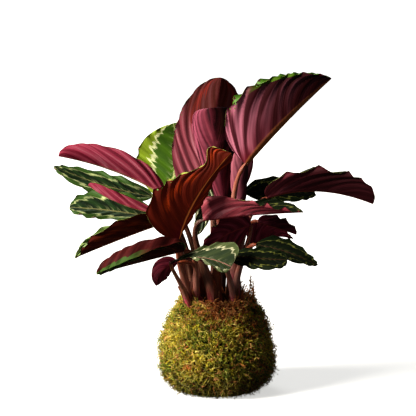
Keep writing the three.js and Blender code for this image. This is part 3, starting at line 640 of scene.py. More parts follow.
def lower_face(name, dark, mid, light, rib="9c5a3a", contrast=1.0, glow=None, glow_at=(0, 1), rough=0.6,
               shade_top=None, shade_at=(0.62, 0.8), right=None, left=None, fringe=None, fringe_size=0.04,
               through=0.0, streaky=1.0, shine=0.1, base=None, fringe_to=1.3, rib_wide=1.0):
    """Soft uneven bands along the side veins in three shades, dark, mid and light.

    The shade is a sine along the vein number times contrast, plus streaks times streaky, plus slow
    drift. base colours the blade near its base. shade_top is a painted shade that darkens the blade
    towards its tip, where it turns from the light, and shade_at says from where to where along the
    blade it comes in. right and left tint the halves: right is a painted light on the outer part of
    the right half, left a painted shade on the left half. For a blade with light behind it, glow is
    the colour of a painted glow in a ring and strokes between the two shares of its length in
    glow_at, and through is how strongly the face shines in its own colours, a painted glow of light
    through the blade that also lifts its shade. fringe is a rim of the upper face's colour that curls
    over the right edge, fringe_size wide, as far along as fringe_to. rib is the midrib's colour and
    rib_wide scales its width. rough and shine say how the face reflects.
    """
    finish, sheet, body = new_sheet(name, rough, Specular_IOR_Level=shine)
    along, across = surface_map(sheet)
    count, out = surface_map(sheet, "veins")
    mottle = grain(sheet, place_on_plant(sheet), 55, 4)
    drift = grain(sheet, joined(sheet, count * 0.8, out * 0.9, across), 1.0, 2)
    streak = grain(sheet, joined(sheet, count * 5, out * 0.9), 1.5, 4, 0.6)
    count = count + drift * 0.9
    broad = (count * FULL_TURN).wave() * 0.5 + 0.5
    shade = (broad - 0.5) * 0.75 * contrast + (streak - 0.5) * 1.3 * streaky
    shade = shade + (drift - 0.5) + 0.42
    colour = blend_colours(sheet, shade.between(0.0, 0.55), dark, mid)
    colour = blend_colours(sheet, shade.between(0.45, 1.0) * (0.4 + mottle), colour, light)
    # Painted light: the outer part of the right half is tinted lighter where light falls on it.
    if right:
        tint = across.between(0.55, 0.85) * shade.between(0.1, 0.6) * 0.9
        colour = blend_colours(sheet, tint, colour, right)
    # Painted shade: the left half is tinted darker, as it lies in shade.
    if left:
        colour = blend_colours(sheet, (1 - across.between(0.2, 0.52)) * 0.85, colour, left)
    if base:
        past_base = (along + out * 0.35 + mottle * 0.1).between(0.1, 0.3)
        colour = blend_colours(sheet, (1 - past_base) * 0.8, colour, base)
    # Painted shade: the blade darkens towards its tip, where it turns away from the light.
    if shade_top:
        colour = blend_colours(sheet, (along + mottle * 0.1).between(*shade_at) * 0.85, colour, shade_top)
    # Painted glow: ring and strokes lit as if by light behind the blade.
    if glow:
        feather = count.teeth(0.5) * 2 - 0.5
        quill = (count * 4.3 + streak * 3).teeth(1.0) - 0.5
        first, last = glow_at
        there = along.between(first, first + 0.2) * (1 - along.between(last - 0.15, last))
        ring = (out - 0.62 + feather * 0.16 + quill * 0.10).band(0.0, 0.03, 0.12)
        strokes = (1 - (out + quill * 0.25).between(0.05, 0.5)) * quill.between(0.0, 0.5)
        lit = (ring * 0.8 + strokes * 0.45) * there * streak.between(0.35, 0.6) * drift.between(0.35, 0.6)
        colour = blend_colours(sheet, lit, colour, glow)
    on_rib = 1 - out.between(0.014 * rib_wide, 0.045 * rib_wide)
    colour = blend_colours(sheet, on_rib * 0.9, colour, rib)
    if fringe:
        reach = out - 1 + fringe_size * (drift * 2 + (count.teeth(0.5) - 0.25) * 1.2)
        curled = reach.between(0.0, 0.012) * across.between(0.5, 0.6) * along.between(0.25, 0.4)
        curled = curled * (1 - along.between(fringe_to - 0.1, fringe_to))
        colour = blend_colours(sheet, curled, colour, fringe)
    sheet.links.new(colour.socket, body.inputs["Base Color"])
    # Painted glow: the face shines in its own colours as if light came through it, which also lifts its
    # shade.
    if through:
        sheet.links.new(colour.socket, body.inputs["Emission Color"])
        body.inputs["Emission Strength"].default_value = through
    emboss(sheet, body, (count * 8).teeth(1.0) * 0.3 + mottle * 0.5, 0.0003)
    return finish


print("lower faces can be made: bands, tints, ring, midrib and fringe")

# %% Rim of the blade
def leaf_rim(name, colour, spot):
    """The thin pale line round a blade, with darker places."""
    finish, sheet, body = new_sheet(name, 0.5)
    mottle = grain(sheet, place_on_plant(sheet), 160, 2)
    tint = blend_colours(sheet, mottle.between(0.45, 0.65), colour, spot)
    sheet.links.new(tint.socket, body.inputs["Base Color"])
    return finish


RIM = leaf_rim("leaf rim", "a4aa5c", "5c4a2a")
print("finish made:", RIM.name)

# %% Shades of the two faces
UPPER = {
    "deep": dict(deep="12230f", light="27421c", margin="35521f", ring="a9b77c", strength=0.9),
    "leafy": dict(deep="10220c", light="264218", margin="3e5c20", ring="c2ca8c", rib="8a8450", ring_at=0.58,
                  strength=0.9),
    # shade: the same kind of greens made darker, a painted shade for the leaves that stand in shade on the
    # right.
    "shade": dict(deep="070e04", light="0e1907", margin="141f08", ring="7a7c3c", strength=0.7, rib="3c1e1a",
                  wide=0.6, shine=0.12, rough=0.7),
    "fresh": dict(deep="28460f", light="44691a", margin="527a22", ring="a5b468"),
    "bright": dict(deep="3a5a0e", light="5e841c", margin="8a9e26", ring="e4e6ac", rib="b8b878", ring_at=0.6),
    "pale": dict(deep="2c4424", light="5c7a40", margin="94ac64", ring="ccd2a4"),
    "silvered": dict(deep="22301a", light="3e4a26", margin="525c34", ring="d6d0a8", rib="9a6a5c", rough=0.6,
                     strength=0.8, ring_at=0.7, wide=0.7),
}
# In these finishes the right tints are painted light, the left tints and shade_top painted shade, and glow
# and through a painted glow of light through the blade.
UNDER = {
    "banded_high": dict(dark="3a1018", mid="6c2c38", light="ac6270", shade_top="2c0c0d",
                        shade_at=(0.08, 0.55), rib="c07848", rib_wide=2.0, right="cc7e90", base="5e0c1a",
                        left="3a1216", streaky=0.5, fringe="4c6816", fringe_size=0.1, fringe_to=0.72,
                        shine=0.07),
    "banded_level": dict(dark="4a1a20", mid="74343c", light="9a5a62", contrast=0.35, shade_top="120001",
                         shade_at=(0.0, 0.55), rib="7a3a2a", shine=0.08, through=0.08),
    "banded_front": dict(dark="642830", mid="9a464e", light="cc848a", contrast=0.8, shade_top="6a222c",
                         shade_at=(0.3, 1.0), rib="7a2e2c", streaky=0.7, through=0.1),
    "banded_to_red": dict(dark="3a1218", mid="72363e", light="a87078", glow="7a1c08", glow_at=(0.5, 1.4),
                          shade_top="3a1208", shade_at=(0.5, 0.72), rib="44181a", contrast=0.7, streaky=0.3,
                          shine=0.05, through=0.16),
    "rolled": dict(dark="2c0a12", mid="561c28", light="843a46", contrast=0.5, rib="561c28", right="9c5062",
                   left="10040a", streaky=0.4),
    "rosy": dict(dark="4c1826", mid="78404a", light="9c5c66", contrast=0.4, rib="78404a", right="a05c66",
                 left="30080f", streaky=0.5),
    "crimson": dict(dark="70182c", mid="a64256", light="d08c98", contrast=0.4, rib="dca488", streaky=0.9,
                    rib_wide=1.4),
    "glowing": dict(dark="40140a", mid="541a0e", light="6c2216", glow="a03a10", contrast=0.25, rib="c8743c",
                    fringe="a4ac52", through=0.26, streaky=0.45, shine=0.06, base="500c1a"),
    "brown": dict(dark="340f0a", mid="4e1c12", light="6a3020", glow="8a3a14", glow_at=(0.1, 0.9),
                  rib="b4683a", contrast=0.4, through=0.08, shine=0.06),
    "scrolled": dict(dark="2c0c0c", mid="441614", light="5e2a28", rib="9a5434", contrast=0.4,
                     fringe="3e5426", fringe_size=0.09, shine=0.06),
    "wine": dict(dark="300c15", mid="541824", light="7c3844", contrast=0.5, rib="6a2a2a", shine=0.06,
                 through=0.12),
    "dark": dict(dark="260a10", mid="42141e", light="5c2832", contrast=0.6, rib="7a3a2a", shine=0.06,
                 through=0.08),
}
print(len(UPPER), "finishes for upper faces,", len(UNDER), "for lower ones")

# %% Make every blade
tops = {key: upper_face("leaf top " + key, **shades) for key, shades in UPPER.items()}
backs = {key: lower_face("leaf back " + key, **shades) for key, shades in UNDER.items()}
blade_faces = sum(build_blade(one, [tops[one["upper"]], backs[one["under"]], RIM]) for one in LEAVES)
print("faces of all blades:", blade_faces)

# %% [markdown]
# ## Stalks and shoots
# The leaf stalks rise in groups. Each is thick and channelled where it leaves the crown, wrapped in
# a thin sheath with pale edges, and tapers to a slightly swollen knee under the blade. A stalk is a
# profile carried along a curve: the same curve the solids use, with more steps.

# %% Rods along a curve
def curve_points(corners, share):
    """A cubic Bezier curve: each corner weighted by its own mix of share and what is left of it."""
    a, b, c, d = (np.array(corner, float) for corner in corners)
    rest = 1 - share
    point = a * rest ** 3 + 3 * b * rest ** 2 * share + 3 * c * rest * share ** 2 + d * share ** 3
    way = (b - a) * rest ** 2 + 2 * (c - b) * rest * share + (d - c) * share ** 2
    return point, unit(way)


def rod(corners, radius, steps, sides, flute):
    """Points of a rod round a Bezier curve, its faces and its flat map.

    radius gives the radius at a share of the length. The rod's cross-section is a circle with
    five shallow flutes that fade out towards the end: the radius times one plus flute times a
    cosine. Its sides are turned from one upright direction square to the curve, and a fan of
    triangles closes each end.
    """
    share = np.linspace(0, 1, steps)[:, None, None]
    middle, way = curve_points(corners, share)
    ahead = np.array(corners[3], float) - np.array(corners[0], float)
    level = np.array([-ahead[1], ahead[0], 0.0]) + np.array([1e-3, 0, 0])
    first = unit(np.cross(way, unit(level)))
    second = np.cross(way, first)
    angle = np.linspace(0, 2 * np.pi, sides, endpoint=False)[None, :, None]
    reach = radius(share) * (1 + flute * np.cos(5 * angle) * (1 - share))
    points = middle + reach * (np.cos(angle) * first + np.sin(angle) * second)
    ends = np.stack([middle[0, 0], middle[-1, 0]])
    squares = grid_faces(steps, sides, closed=True)[:, ::-1]
    around = np.arange(sides)
    start, last = steps * sides, (steps - 1) * sides
    near = np.stack([np.full(sides, start), around, (around + 1) % sides], -1)
    far = np.stack([np.full(sides, start + 1), last + (around + 1) % sides, last + around], -1)
    faces = np.concatenate([halved(squares), near[:, ::-1], far[:, ::-1]])
    flat = np.stack(np.broadcast_arrays(share[..., 0], (angle / (2 * np.pi))[..., 0]), -1)
    flat = np.concatenate([flat.reshape(-1, 2), [[0, 0.5], [1, 0.5]]])
    return np.concatenate([points.reshape(-1, 3), ends]), faces, flat


def tapered(start, end):
    """A radius that changes evenly from start to end."""
    def radius(share):
        """The radius at a share of the length."""
        return start + (end - start) * share
    return radius


def gather(parts):
    """Several (points, faces, map) as one."""
    counts = np.cumsum([0] + [len(part[0]) for part in parts[:-1]])
    points = np.concatenate([part[0] for part in parts])
    faces = np.concatenate([part[1] + count for part, count in zip(parts, counts)])
    return points, faces, np.concatenate([part[2] for part in parts])


test_rod = rod(((0, 0, 0), (0, 0, 1), (0, 0, 2), (0, 0, 3)), tapered(1, 0.5), 4, 6, 0)
print("a rod of 4 rings of 6 points has", len(test_rod[1]), "triangles")


# %% Stalks
STALK_START = 104
STALK_SPREAD = 220
STALK_TOP_RADIUS = 1.8
LOWER_SWELL = 1.0
KNEE_AT = 0.93
KNEE_SWELL = 0.5
SHEATH_GAP = 0.35
SHEATH_FLARE = 0.9
SHEATH_THICKNESS = 0.3


def stalk_corners(one):
    """The curve's four corners: up out of the crown, leaning outwards, then over into the midrib."""
    foot = np.array([*one["foot"], STALK_START], float)
    way = midrib_way(one, np.zeros(1))
    head = np.array(one["base"], float) + way * 0.6
    length = np.linalg.norm(head - foot)
    lean = unit(np.array([foot[0], foot[1], STALK_SPREAD]))
    return foot, foot + lean * length * 0.3, head - way * length * one["reach"], head


def stalk_radius(one):
    """Tapers from the foot to under the blade, swells by LOWER_SWELL towards its foot, and has a
    knee near the top, as a bell-shaped curve."""
    def radius(share):
        """The radius at a share of the length."""
        spare = one["stalk"] - STALK_TOP_RADIUS
        lower = LOWER_SWELL * smooth_step(0.55 - share, 0, 0.5)
        taper = STALK_TOP_RADIUS + spare * (1 - share) ** 1.2 + lower
        knee = KNEE_SWELL * np.exp(-((share - KNEE_AT) / 0.05) ** 2)
        return taper + knee - 0.5 * smooth_step(share, 0.97, 1.0)
    return radius


def sheath_wrap(one, top, phase):
    """The sheath round a stalk's lower part: a strip bent round the stalk that narrows to its top.

    At each height the strip covers an angle that shrinks from most of a turn to nothing, a little
    outside the stalk, and its edges stand away from it.
    """
    steps, sides = 26, 13
    share = np.linspace(0, 1, steps)[:, None, None]
    middle, way = curve_points(stalk_corners(one), share * top)
    level = np.array([-one["base"][1] + one["foot"][1], one["base"][0] - one["foot"][0], 0.001])
    first = unit(np.cross(way, unit(level)))
    second = np.cross(way, first)
    spread = np.linspace(-1, 1, sides)[None, :, None]
    angle = phase + spread * (2.6 * (1 - share) ** 0.5 + 0.15)
    lifted = SHEATH_FLARE * np.abs(spread) ** 3 * (1 - share)
    reach = stalk_radius(one)(share * top) + SHEATH_GAP + lifted
    outside = middle + reach * (np.cos(angle) * first + np.sin(angle) * second)
    inside = middle + (reach - SHEATH_THICKNESS) * (np.cos(angle) * first + np.sin(angle) * second)
    squares = grid_faces(steps, sides)
    faces = halved(np.concatenate([squares[:, ::-1], squares + steps * sides, rim_faces(steps, sides)]))
    flat = np.stack(np.broadcast_arrays(share[..., 0], 0.5 + 0.5 * spread[..., 0]), -1).reshape(-1, 2)
    points = np.concatenate([outside.reshape(-1, 3), inside.reshape(-1, 3)])
    return points, faces, np.concatenate([flat, flat])


for one in (LEAVES[2], LEAVES[12]):
    thick = 2 * stalk_radius(one)(np.array([0.2, 0.8]))
    print(f"the stalk of {one['name']} is {thick[0]:.1f} mm thick low down, {thick[1]:.1f} mm high up")


# %% [markdown]
# Stalks are rose red where they leave the crown and pass to a dusty brown, then to rust or dark
# brown at the top, with fine pale streaks along them. Those in the middle get a darker copy of the
# finish, a painted shade, as they stand in the shade of the others, and the sheaths are browner, dry
# and streaked. The map of a stalk runs along it and round it, so noise that is stretched along the
# stalk gives the fibres, and the place along gives the three colours.

# %% Stalk finishes
def stalk_finish(name, base, low, high, streak_colour):
    """Three colours along the stalk, base, low and high, with pale fibres along it. Each colour
    passes into the next by a smooth step along the stalk that noise moves up and down."""
    finish, sheet, body = new_sheet(name, 0.42, Specular_IOR_Level=0.35)
    along, around = surface_map(sheet)
    fibre = grain(sheet, joined(sheet, along * 1.5, around * 26), 3.0, 4, 0.6)
    patch = grain(sheet, place_on_plant(sheet), 45, 3)
    colour = blend_colours(sheet, (along + patch * 0.2 - 0.1).between(0.1, 0.3), base, low)
    colour = blend_colours(sheet, (along + patch * 0.7 - 0.35).between(0.3, 0.85), colour, high)
    colour = blend_colours(sheet, fibre.between(0.48, 0.72) * 0.7, colour, streak_colour)
    sheet.links.new(colour.socket, body.inputs["Base Color"])
    emboss(sheet, body, fibre, 0.0005)
    return finish


STALK_RED = stalk_finish("stalk red", "b84458", "a86e5e", "94441e", "e4b8ac")
STALK_ROSE = stalk_finish("stalk rose", "bc4c60", "a06c60", "8e4428", "dcb4a4")
STALK_DARK = stalk_finish("stalk dark", "94363e", "7a4e3c", "4a2214", "b89880")
# A darker copy for the stalks in the middle: painted shade.
STALK_SHADED = stalk_finish("stalk shaded", "3e1214", "38180e", "86381e", "5a3424")
SHEATH = stalk_finish("sheath", "8c2438", "744026", "84482c", "b08a5e")
print("stalk finishes made")

# %% [markdown]
# Every shoot is a crown in the peat, from which its leaves' stalks rise, each wrapped low down in
# its sheath, with one or two pointed scales beside them. Stalks and crown are one piece, because
# they grow as one, and the sheaths of a shoot are a second piece with a finish of their own.

# %% Shoots
# A scale is given by its foot, its tip and its radius at foot and tip.
SHOOTS = {
    "shoot_front_left": dict(crown=(-27, -18), half=(12, 12), finish=STALK_RED, scales=[
        ((-26, -26, 108), (-29, -31, 129), 4, 0.6), ((-36, -20, 112), (-45, -22, 130), 2.8, 2.4)]),
    "shoot_rear_left": dict(crown=(-20, 10), half=(13, 13), finish=STALK_DARK, scales=[
        ((-29, 12, 108), (-34, 14, 127), 3.6, 0.6)]),
    "shoot_front": dict(crown=(-1, -21), half=(9, 9), finish=STALK_DARK, scales=[
        ((1, -26, 108), (3, -29, 126), 3.4, 0.6)]),
    "shoot_middle": dict(crown=(1, 10), half=(8, 11), finish=STALK_SHADED, scales=[
        ((3, 17, 108), (5, 21, 127), 3.6, 0.6)]),
    "shoot_right": dict(crown=(19, -4), half=(9.5, 20), finish=STALK_ROSE, scales=[
        ((22, -17, 108), (25, -22, 128), 3.8, 0.6), ((20, 13, 108), (23, 17, 124), 3.4, 0.6)]),
}


# Heights up a crown, and its width at each as a share of its widest.
CROWN_HEIGHTS = np.array([74, 74.01, 98, 108, 115, 118.0])
CROWN_SHARES = np.array([0.0, 0.6, 1.0, 1.0, 0.8, 0.0])
# About the length of a stalk, so that the crown takes the colours of a stalk's foot.
STALK_LENGTH = 300


def crown_body(crown, half):
    """The crown in the peat: an oval stub. Its half widths are half times a share that follows a
    short list of heights."""
    rings, sides = 26, 24
    corner = np.arange(len(CROWN_HEIGHTS))
    level = np.linspace(0, corner[-1], rings)
    height = np.interp(level, corner, CROWN_HEIGHTS)[:, None, None]
    share = np.interp(level, corner, CROWN_SHARES)[:, None, None]
    angle = np.linspace(0, 2 * np.pi, sides, endpoint=False)[None, :, None]
    x = crown[0] + half[0] * share * np.cos(angle)
    y = crown[1] + half[1] * share * np.sin(angle)
    points = np.concatenate(np.broadcast_arrays(x, y, height), -1).reshape(-1, 3)
    faces = halved(grid_faces(rings, sides, closed=True))
    along = (height[..., 0] - CROWN_HEIGHTS[0]) / STALK_LENGTH
    flat = np.stack(np.broadcast_arrays(along, angle[..., 0] / (2 * np.pi)), -1)
    return points, faces, flat.reshape(-1, 2)


rng = np.random.default_rng(11)
for name, shoot in SHOOTS.items():
    stems = [crown_body(shoot["crown"], shoot["half"])]
    wraps = []
    for one in (one for one in LEAVES if one["shoot"] == name):
        stems.append(rod(stalk_corners(one), stalk_radius(one), steps=60, sides=16, flute=0.06))
        wraps.append(sheath_wrap(one, top=rng.uniform(0.22, 0.36), phase=rng.uniform(-0.6, 0.6)))
    for low, high, wide, end in shoot["scales"]:
        foot, tip = np.array(low, float), np.array(high, float)
        bend = (tip - foot) / 3
        corners = (foot, foot + bend, tip - bend, tip)
        wraps.append(rod(corners, tapered(wide, end), steps=14, sides=12, flute=0.1))
    for part, finish, suffix in ((stems, shoot["finish"], "_stalks"), (wraps, SHEATH, "_sheaths")):
        points, faces, flat = gather(part)
        piece = make_piece(name + suffix, points, faces, [finish], uv=flat)
        if suffix == "_stalks":
            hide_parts(name)
    print(name, "has", len(stems) - 1, "stalks and", len(shoot["scales"]), "scales")

# %% [markdown]
# ## The ball's surface
# Moss, peat and thread all need to know where the ball's surface is. The ball is a round body on
# a flat spot whose radius changes with height, with low cushions of moss on it. It could be a
# sculpted sphere, but as a formula every strand and thread can be set exactly on it: an angle and
# a height give a point.

# %% Ball surface
# Radius and height of nine points up the side of the ball.
MOSS_OUTSIDE = np.array([[44, 0], [54, 8], [62, 21], [65, 38], [63.5, 56], [59, 74], [52, 91],
                         [45, 104], [39, 113]], float)
BALL_TOP = 113
BALL_MIDDLE = 55.0
CUSHION_FADE = 12


def moss_radius(height):
    """The ball's radius at a height: a smooth curve through nine points, a cubic between each two
    whose slopes are those of the neighbouring points."""
    heights, radii = MOSS_OUTSIDE[:, 1], MOSS_OUTSIDE[:, 0]
    slope = np.gradient(radii, heights)
    spot = np.clip(np.searchsorted(heights, height) - 1, 0, len(heights) - 2)
    gap = heights[spot + 1] - heights[spot]
    t = np.clip((height - heights[spot]) / gap, 0, 1)
    rise = (2 * t ** 3 - 3 * t ** 2 + 1) * radii[spot] + (3 * t ** 2 - 2 * t ** 3) * radii[spot + 1]
    return rise + gap * ((t ** 3 - 2 * t ** 2 + t) * slope[spot] + (t ** 3 - t ** 2) * slope[spot + 1])


def cushion(angle, height):
    """Height of the moss cushions: three crossing waves that vanish at the flat spot and the rim."""
    waves = (1.3 * np.sin(5 * angle + height / 13) + 1.0 * np.sin(8 * angle - height / 9 + 2)
             + 0.7 * np.sin(11 * angle + height / 6))
    return waves * np.clip(np.minimum(height / CUSHION_FADE, (BALL_TOP - height) / CUSHION_FADE), 0, 1)


def on_ball(angle, height, lift=0.0):
    """A point of the ball's surface, or lift outside it."""
    reach = moss_radius(height) + cushion(angle, height) + lift
    return np.stack([reach * np.cos(angle), reach * np.sin(angle), height + 0 * angle], -1)


widest = 2 * moss_radius(np.linspace(0, BALL_TOP, 200)).max()
print(f"the ball without cushions and strands is {widest:.0f} mm across")


# %% [markdown]
# ## Moss bed and peat
# Under the sprigs there is a dense dark felt of old moss, dark partly as old moss is and partly as
# painted shade deep between the strands. It is one closed shell: up the outside, over the rim and
# down the inside, with small bumps. The peat shows at the top between the stalks as a crumbly dome.
# Both are profiles carried once round the upright axis, as on a potter's wheel. Sculpting would give
# the lumps too, but a sum of waves does it in one line, and fine noise in the finish makes the crumbs.

# %% Bed and peat surfaces
def turned_surface(profile, sides, roughen):
    """A profile of (radius, height) carried once round, with roughen(angle, radius, height) added
    to the radius. The profile starts and ends on the axis, where nothing is added."""
    angle = np.linspace(0, 2 * np.pi, sides, endpoint=False)[None, :]
    radius, height = profile[:, 0][:, None], profile[:, 1][:, None]
    bump = roughen(angle, radius, height) * (radius > 0)
    reach = radius + bump
    points = np.stack(np.broadcast_arrays(reach * np.cos(angle), reach * np.sin(angle), height), -1)
    faces = grid_faces(len(profile), sides, closed=True)
    return points.reshape(-1, 3), faces


# Radius and height of points down the inside of the bed, and up the outside of the peat.
BED_INSIDE = np.array([[35, 113], [40, 106], [46, 96], [52, 80], [56, 61], [56, 41], [53, 25],
                       [46, 13], [36, 6], [0, 6]], float)
PEAT_OUTSIDE = np.array([[0, 6.6], [35.6, 6.6], [45.5, 13.5], [52.4, 25.4], [55.4, 41], [55.4, 61],
                         [51.5, 79.6], [45.6, 95.5]])
BED_SINKS = 0.8
DOME_RADIUS = 40
DOME_TOP = 117.5
DOME_RISE = 11


def moss_bed_profile():
    """Outside from the flat spot to the rim, a little inside the moss, then back down the inside."""
    rise = np.linspace(0, BALL_TOP, 80)
    outside = np.stack([moss_radius(rise), rise], -1)
    return np.concatenate([[[0, 0]], outside - [[BED_SINKS, 0]], BED_INSIDE])


def peat_profile():
    """Up the outside within the moss, then over a dome that is a parabola."""
    radius = np.linspace(DOME_RADIUS, 0, 40)
    dome = np.stack([radius, DOME_TOP - DOME_RISE * (radius / DOME_RADIUS) ** 2], -1)
    return np.concatenate([PEAT_OUTSIDE, dome])


def bed_bumps(angle, radius, height):
    """Cushions plus small lumps, two sines multiplied, only on the outside and a little lower than
    the moss."""
    outside = (radius > moss_radius(height) - 2) & (height > 0)
    lumps = 0.5 * np.sin(31 * angle + height * 0.9) * np.sin(height * 1.3 + 3 * np.sin(9 * angle))
    return np.where(outside, cushion(angle, height) + lumps - 0.6, 0)


def peat_bumps(angle, radius, height):
    """Irregular lumps of peat, two sines multiplied, only near the top where the peat shows. The
    radius is given to every such function and isn't needed here."""
    return 0.5 * np.sin(17 * angle + height) * np.sin(0.9 * height + 5 * angle) * (height > 90)


print("points up the bed and the peat:", len(moss_bed_profile()), len(peat_profile()))


# %% Make the bed and the peat
def crumbly(name, shine, broad_scale, fine_scale, fine_to, dark, light, crumbs):
    """A rough finish in three colours: broad clouds blend dark and light, and fine ones set crumbs
    on them and raise the relief. The scales say about how many clouds go on a metre."""
    finish, sheet, body = new_sheet(name, 0.95, Specular_IOR_Level=shine)
    place = place_on_plant(sheet)
    broad = grain(sheet, place, broad_scale, 3)
    fine = grain(sheet, place, fine_scale, 3)
    colour = blend_colours(sheet, broad.between(0.4, 0.62), dark, light)
    colour = blend_colours(sheet, fine.between(0.5, fine_to), colour, crumbs)
    sheet.links.new(colour.socket, body.inputs["Base Color"])
    emboss(sheet, body, fine, 0.002)
    return finish


# Dark olive felt with brown and yellow places, dark partly as old moss and partly as painted shade between
# the strands, and moist brown peat with rusty crumbs.
MOSS_FELT = crumbly("moss felt", 0.1, 40, 420, 0.75, "221e08", "3c3210", "544a18")
PEAT = crumbly("peat", 0.15, 60, 500, 0.72, "2c1a0e", "5a3418", "7a4a24")

points, faces = turned_surface(moss_bed_profile(), 160, bed_bumps)
bed = make_piece("moss_bed", points, faces, [MOSS_FELT])
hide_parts("moss_wrap")

points, faces = turned_surface(peat_profile(), 120, peat_bumps)
peat = make_piece("peat_dome", points, faces, [PEAT])
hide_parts("peat_core")
print("faces of bed and peat:", len(bed.data.polygons), len(peat.data.polygons))

# %% [markdown]
# ## Moss sprigs
# What the eye sees as moss is thousands of curly strands, each a thin stem clothed in tiny
# leaves. A hair system could do it, but sprigs made as real meshes keep their look in any
# program. A few strands are worked out once and then placed thousands of times by one array
# calculation: turned, scaled, laid along the ball and sunk into the felt.

# %% One strand
LEAFLET_TURN = 2.4


def strand_shape(steps, leaflets, curl, leaflet, thick, seed):
    """Points and faces of one strand of length 1 along Z that curls towards X.

    Its spine bends by curl (radians) from root to tip and wobbles sideways, its section is a
    triangle that shrinks to the tip. Each leaflet is a slim pointed pyramid of length leaflet that
    leaves the stem, turned on by LEAFLET_TURN (radians) from the one before, and leans towards
    the tip. thick is the stem's radius at the root.
    """
    pick = np.random.default_rng(seed)
    share = np.linspace(0, 1, steps)
    bend = curl * share + pick.uniform(-0.5, 0.5)
    wobble = 0.5 * np.sin(5 * share + pick.uniform(0, 6))
    step = np.stack([np.sin(bend), wobble, np.cos(bend)], -1) / (steps - 1)
    spine = np.concatenate([[[0, 0, 0]], np.cumsum(unit(step[:-1]) / (steps - 1), 0)])
    angle = np.arange(3) * 2 * np.pi / 3
    circle = np.stack([np.cos(angle), np.sin(angle), 0 * angle], -1)
    stem = spine[:, None] + thick * (1 - 0.75 * share ** 2)[:, None, None] * circle[None]
    tube = grid_faces(steps, 3, closed=True)
    last = 3 * (steps - 1)
    caps = np.array([[2, 1, 0], [last, last + 1, last + 2]])
    at = np.linspace(0.1, 0.97, leaflets)
    root = np.stack([np.interp(at, share, spine[:, k]) for k in range(3)], -1)
    ahead = unit(np.stack([np.interp(at, share, np.gradient(spine[:, k])) for k in range(3)], -1))
    turn = np.arange(leaflets) * LEAFLET_TURN + pick.uniform(-0.5, 0.5, leaflets)
    away = unit(np.stack([np.cos(turn), np.sin(turn), 0 * turn], -1) + 1e-6)
    away = unit(away - np.sum(away * ahead, -1, keepdims=True) * ahead)
    point = root + leaflet * (away * 0.8 + ahead * 0.9)
    side = np.cross(away, ahead) * leaflet * 0.26
    belly = root + (point - root) * 0.4
    back = belly + away * leaflet * 0.14
    corners = np.stack([root - ahead * 0.01, belly + side, point, belly - side, back], 1)
    base = len(spine) * 3 + 5 * np.arange(leaflets)[:, None]
    pattern = np.array([[0, 1, 4], [1, 2, 4], [2, 3, 4], [3, 0, 4], [0, 2, 1], [0, 3, 2]])
    leaves = (base[:, :, None] + pattern[None]).reshape(-1, 3)
    faces = np.concatenate([halved(tube), caps, leaves])
    return np.concatenate([stem.reshape(-1, 3), corners.reshape(-1, 3)]), faces


def place_many(shape, faces, roots, up, lean, length, width):
    """Copies of one shape: its Z goes to up, its X to lean, scaled by length and width each.

    A copy's point is its root plus the shape's x, y and z times its own three directions. Also
    given is each point's height in the shape, as a share of the strand's length.
    """
    up = unit(up)
    lean = unit(lean - np.sum(lean * up, -1, keepdims=True) * up)
    third = np.cross(up, lean)
    local = shape[None] * np.stack([width, width, length], -1)[:, None]
    points = (roots[:, None] + local[..., 0:1] * lean[:, None] + local[..., 1:2] * third[:, None]
              + local[..., 2:3] * up[:, None])
    numbers = faces[None] + (np.arange(len(roots)) * len(shape))[:, None, None]
    tips = np.broadcast_to(shape[None, :, 2], points.shape[:2])
    return points.reshape(-1, 3), numbers.reshape(-1, 3), tips.reshape(-1)


# Number of rings and leaflets, then the size of a leaflet and of the stem, for a strand of length 1.
STRAND_RINGS = 7
LEAFLETS = 4
LEAFLET_LENGTH = 0.145
STEM_RADIUS = 0.047
CURLS = (1.2, 2.4, 3.6, -3.0)
STRANDS = [strand_shape(STRAND_RINGS, LEAFLETS, curl, LEAFLET_LENGTH, STEM_RADIUS, seed)
           for seed, curl in enumerate(CURLS)]
print(len(STRANDS), "shapes of strand, each of", len(STRANDS[0][1]), "triangles")


# %% [markdown]
# Four colours of strand make the ball: fresh yellow-green, olive, older deep green, and rusty dead
# ones. Which one grows where follows slow waves over the ball, so they form patches, and the rusty
# ones gather at the top in front where the peat shows. Each strand is painted dark at its root and
# light at its tip, a painted shade because little light gets in between them, and the strands near
# the ground are darker and browner still, a painted shade along with damp moss there.

# %% Moss finishes
def height_of(sheet):
    """Height above the ground in metres, from the plant's own coordinates."""
    split = sheet.nodes.new("ShaderNodeSeparateXYZ")
    plug(sheet, split.inputs[0], place_on_plant(sheet))
    return Field(sheet, split.outputs["Z"])


def sprig_finish(name, low, high, tip):
    """Dark at the root and light at the tip, a painted shade between the strands, darker and browner near
    the ground, a painted shade with damp moss there, and with a little variation from strand to strand.
    """
    finish, sheet, body = new_sheet(name, 0.6, Specular_IOR_Level=0.3)
    height, pick = surface_map(sheet)
    patch = grain(sheet, place_on_plant(sheet), 60, 2)
    # Painted shade: dark at the root, where little light gets in between the strands.
    colour = blend_colours(sheet, height.between(0.0, 0.45), low, high)
    colour = blend_colours(sheet, (height * 0.5 + pick * 1.1 + patch * 0.3).between(0.7, 1.35), colour, tip)
    # Darker and browner near the ground: painted shade, with damp moss there.
    damp = 1 - (height_of(sheet) + patch * 0.02).between(0.01, 0.06)
    colour = blend_colours(sheet, damp * 0.6, colour, "2a1c06")
    sheet.links.new(colour.socket, body.inputs["Base Color"])
    return finish


SPRIG_FINISHES = {
    "fresh": sprig_finish("moss fresh", "564c0a", "e0c834", "fae880"),
    "olive": sprig_finish("moss olive", "2e2a06", "8c8020", "ccbc4c"),
    "green": sprig_finish("moss green", "202a08", "6c7e22", "b4bc46"),
    "rust": sprig_finish("moss rust", "5c2c10", "d08040", "f4b474"),
}
print("moss finishes:", ", ".join(SPRIG_FINISHES))


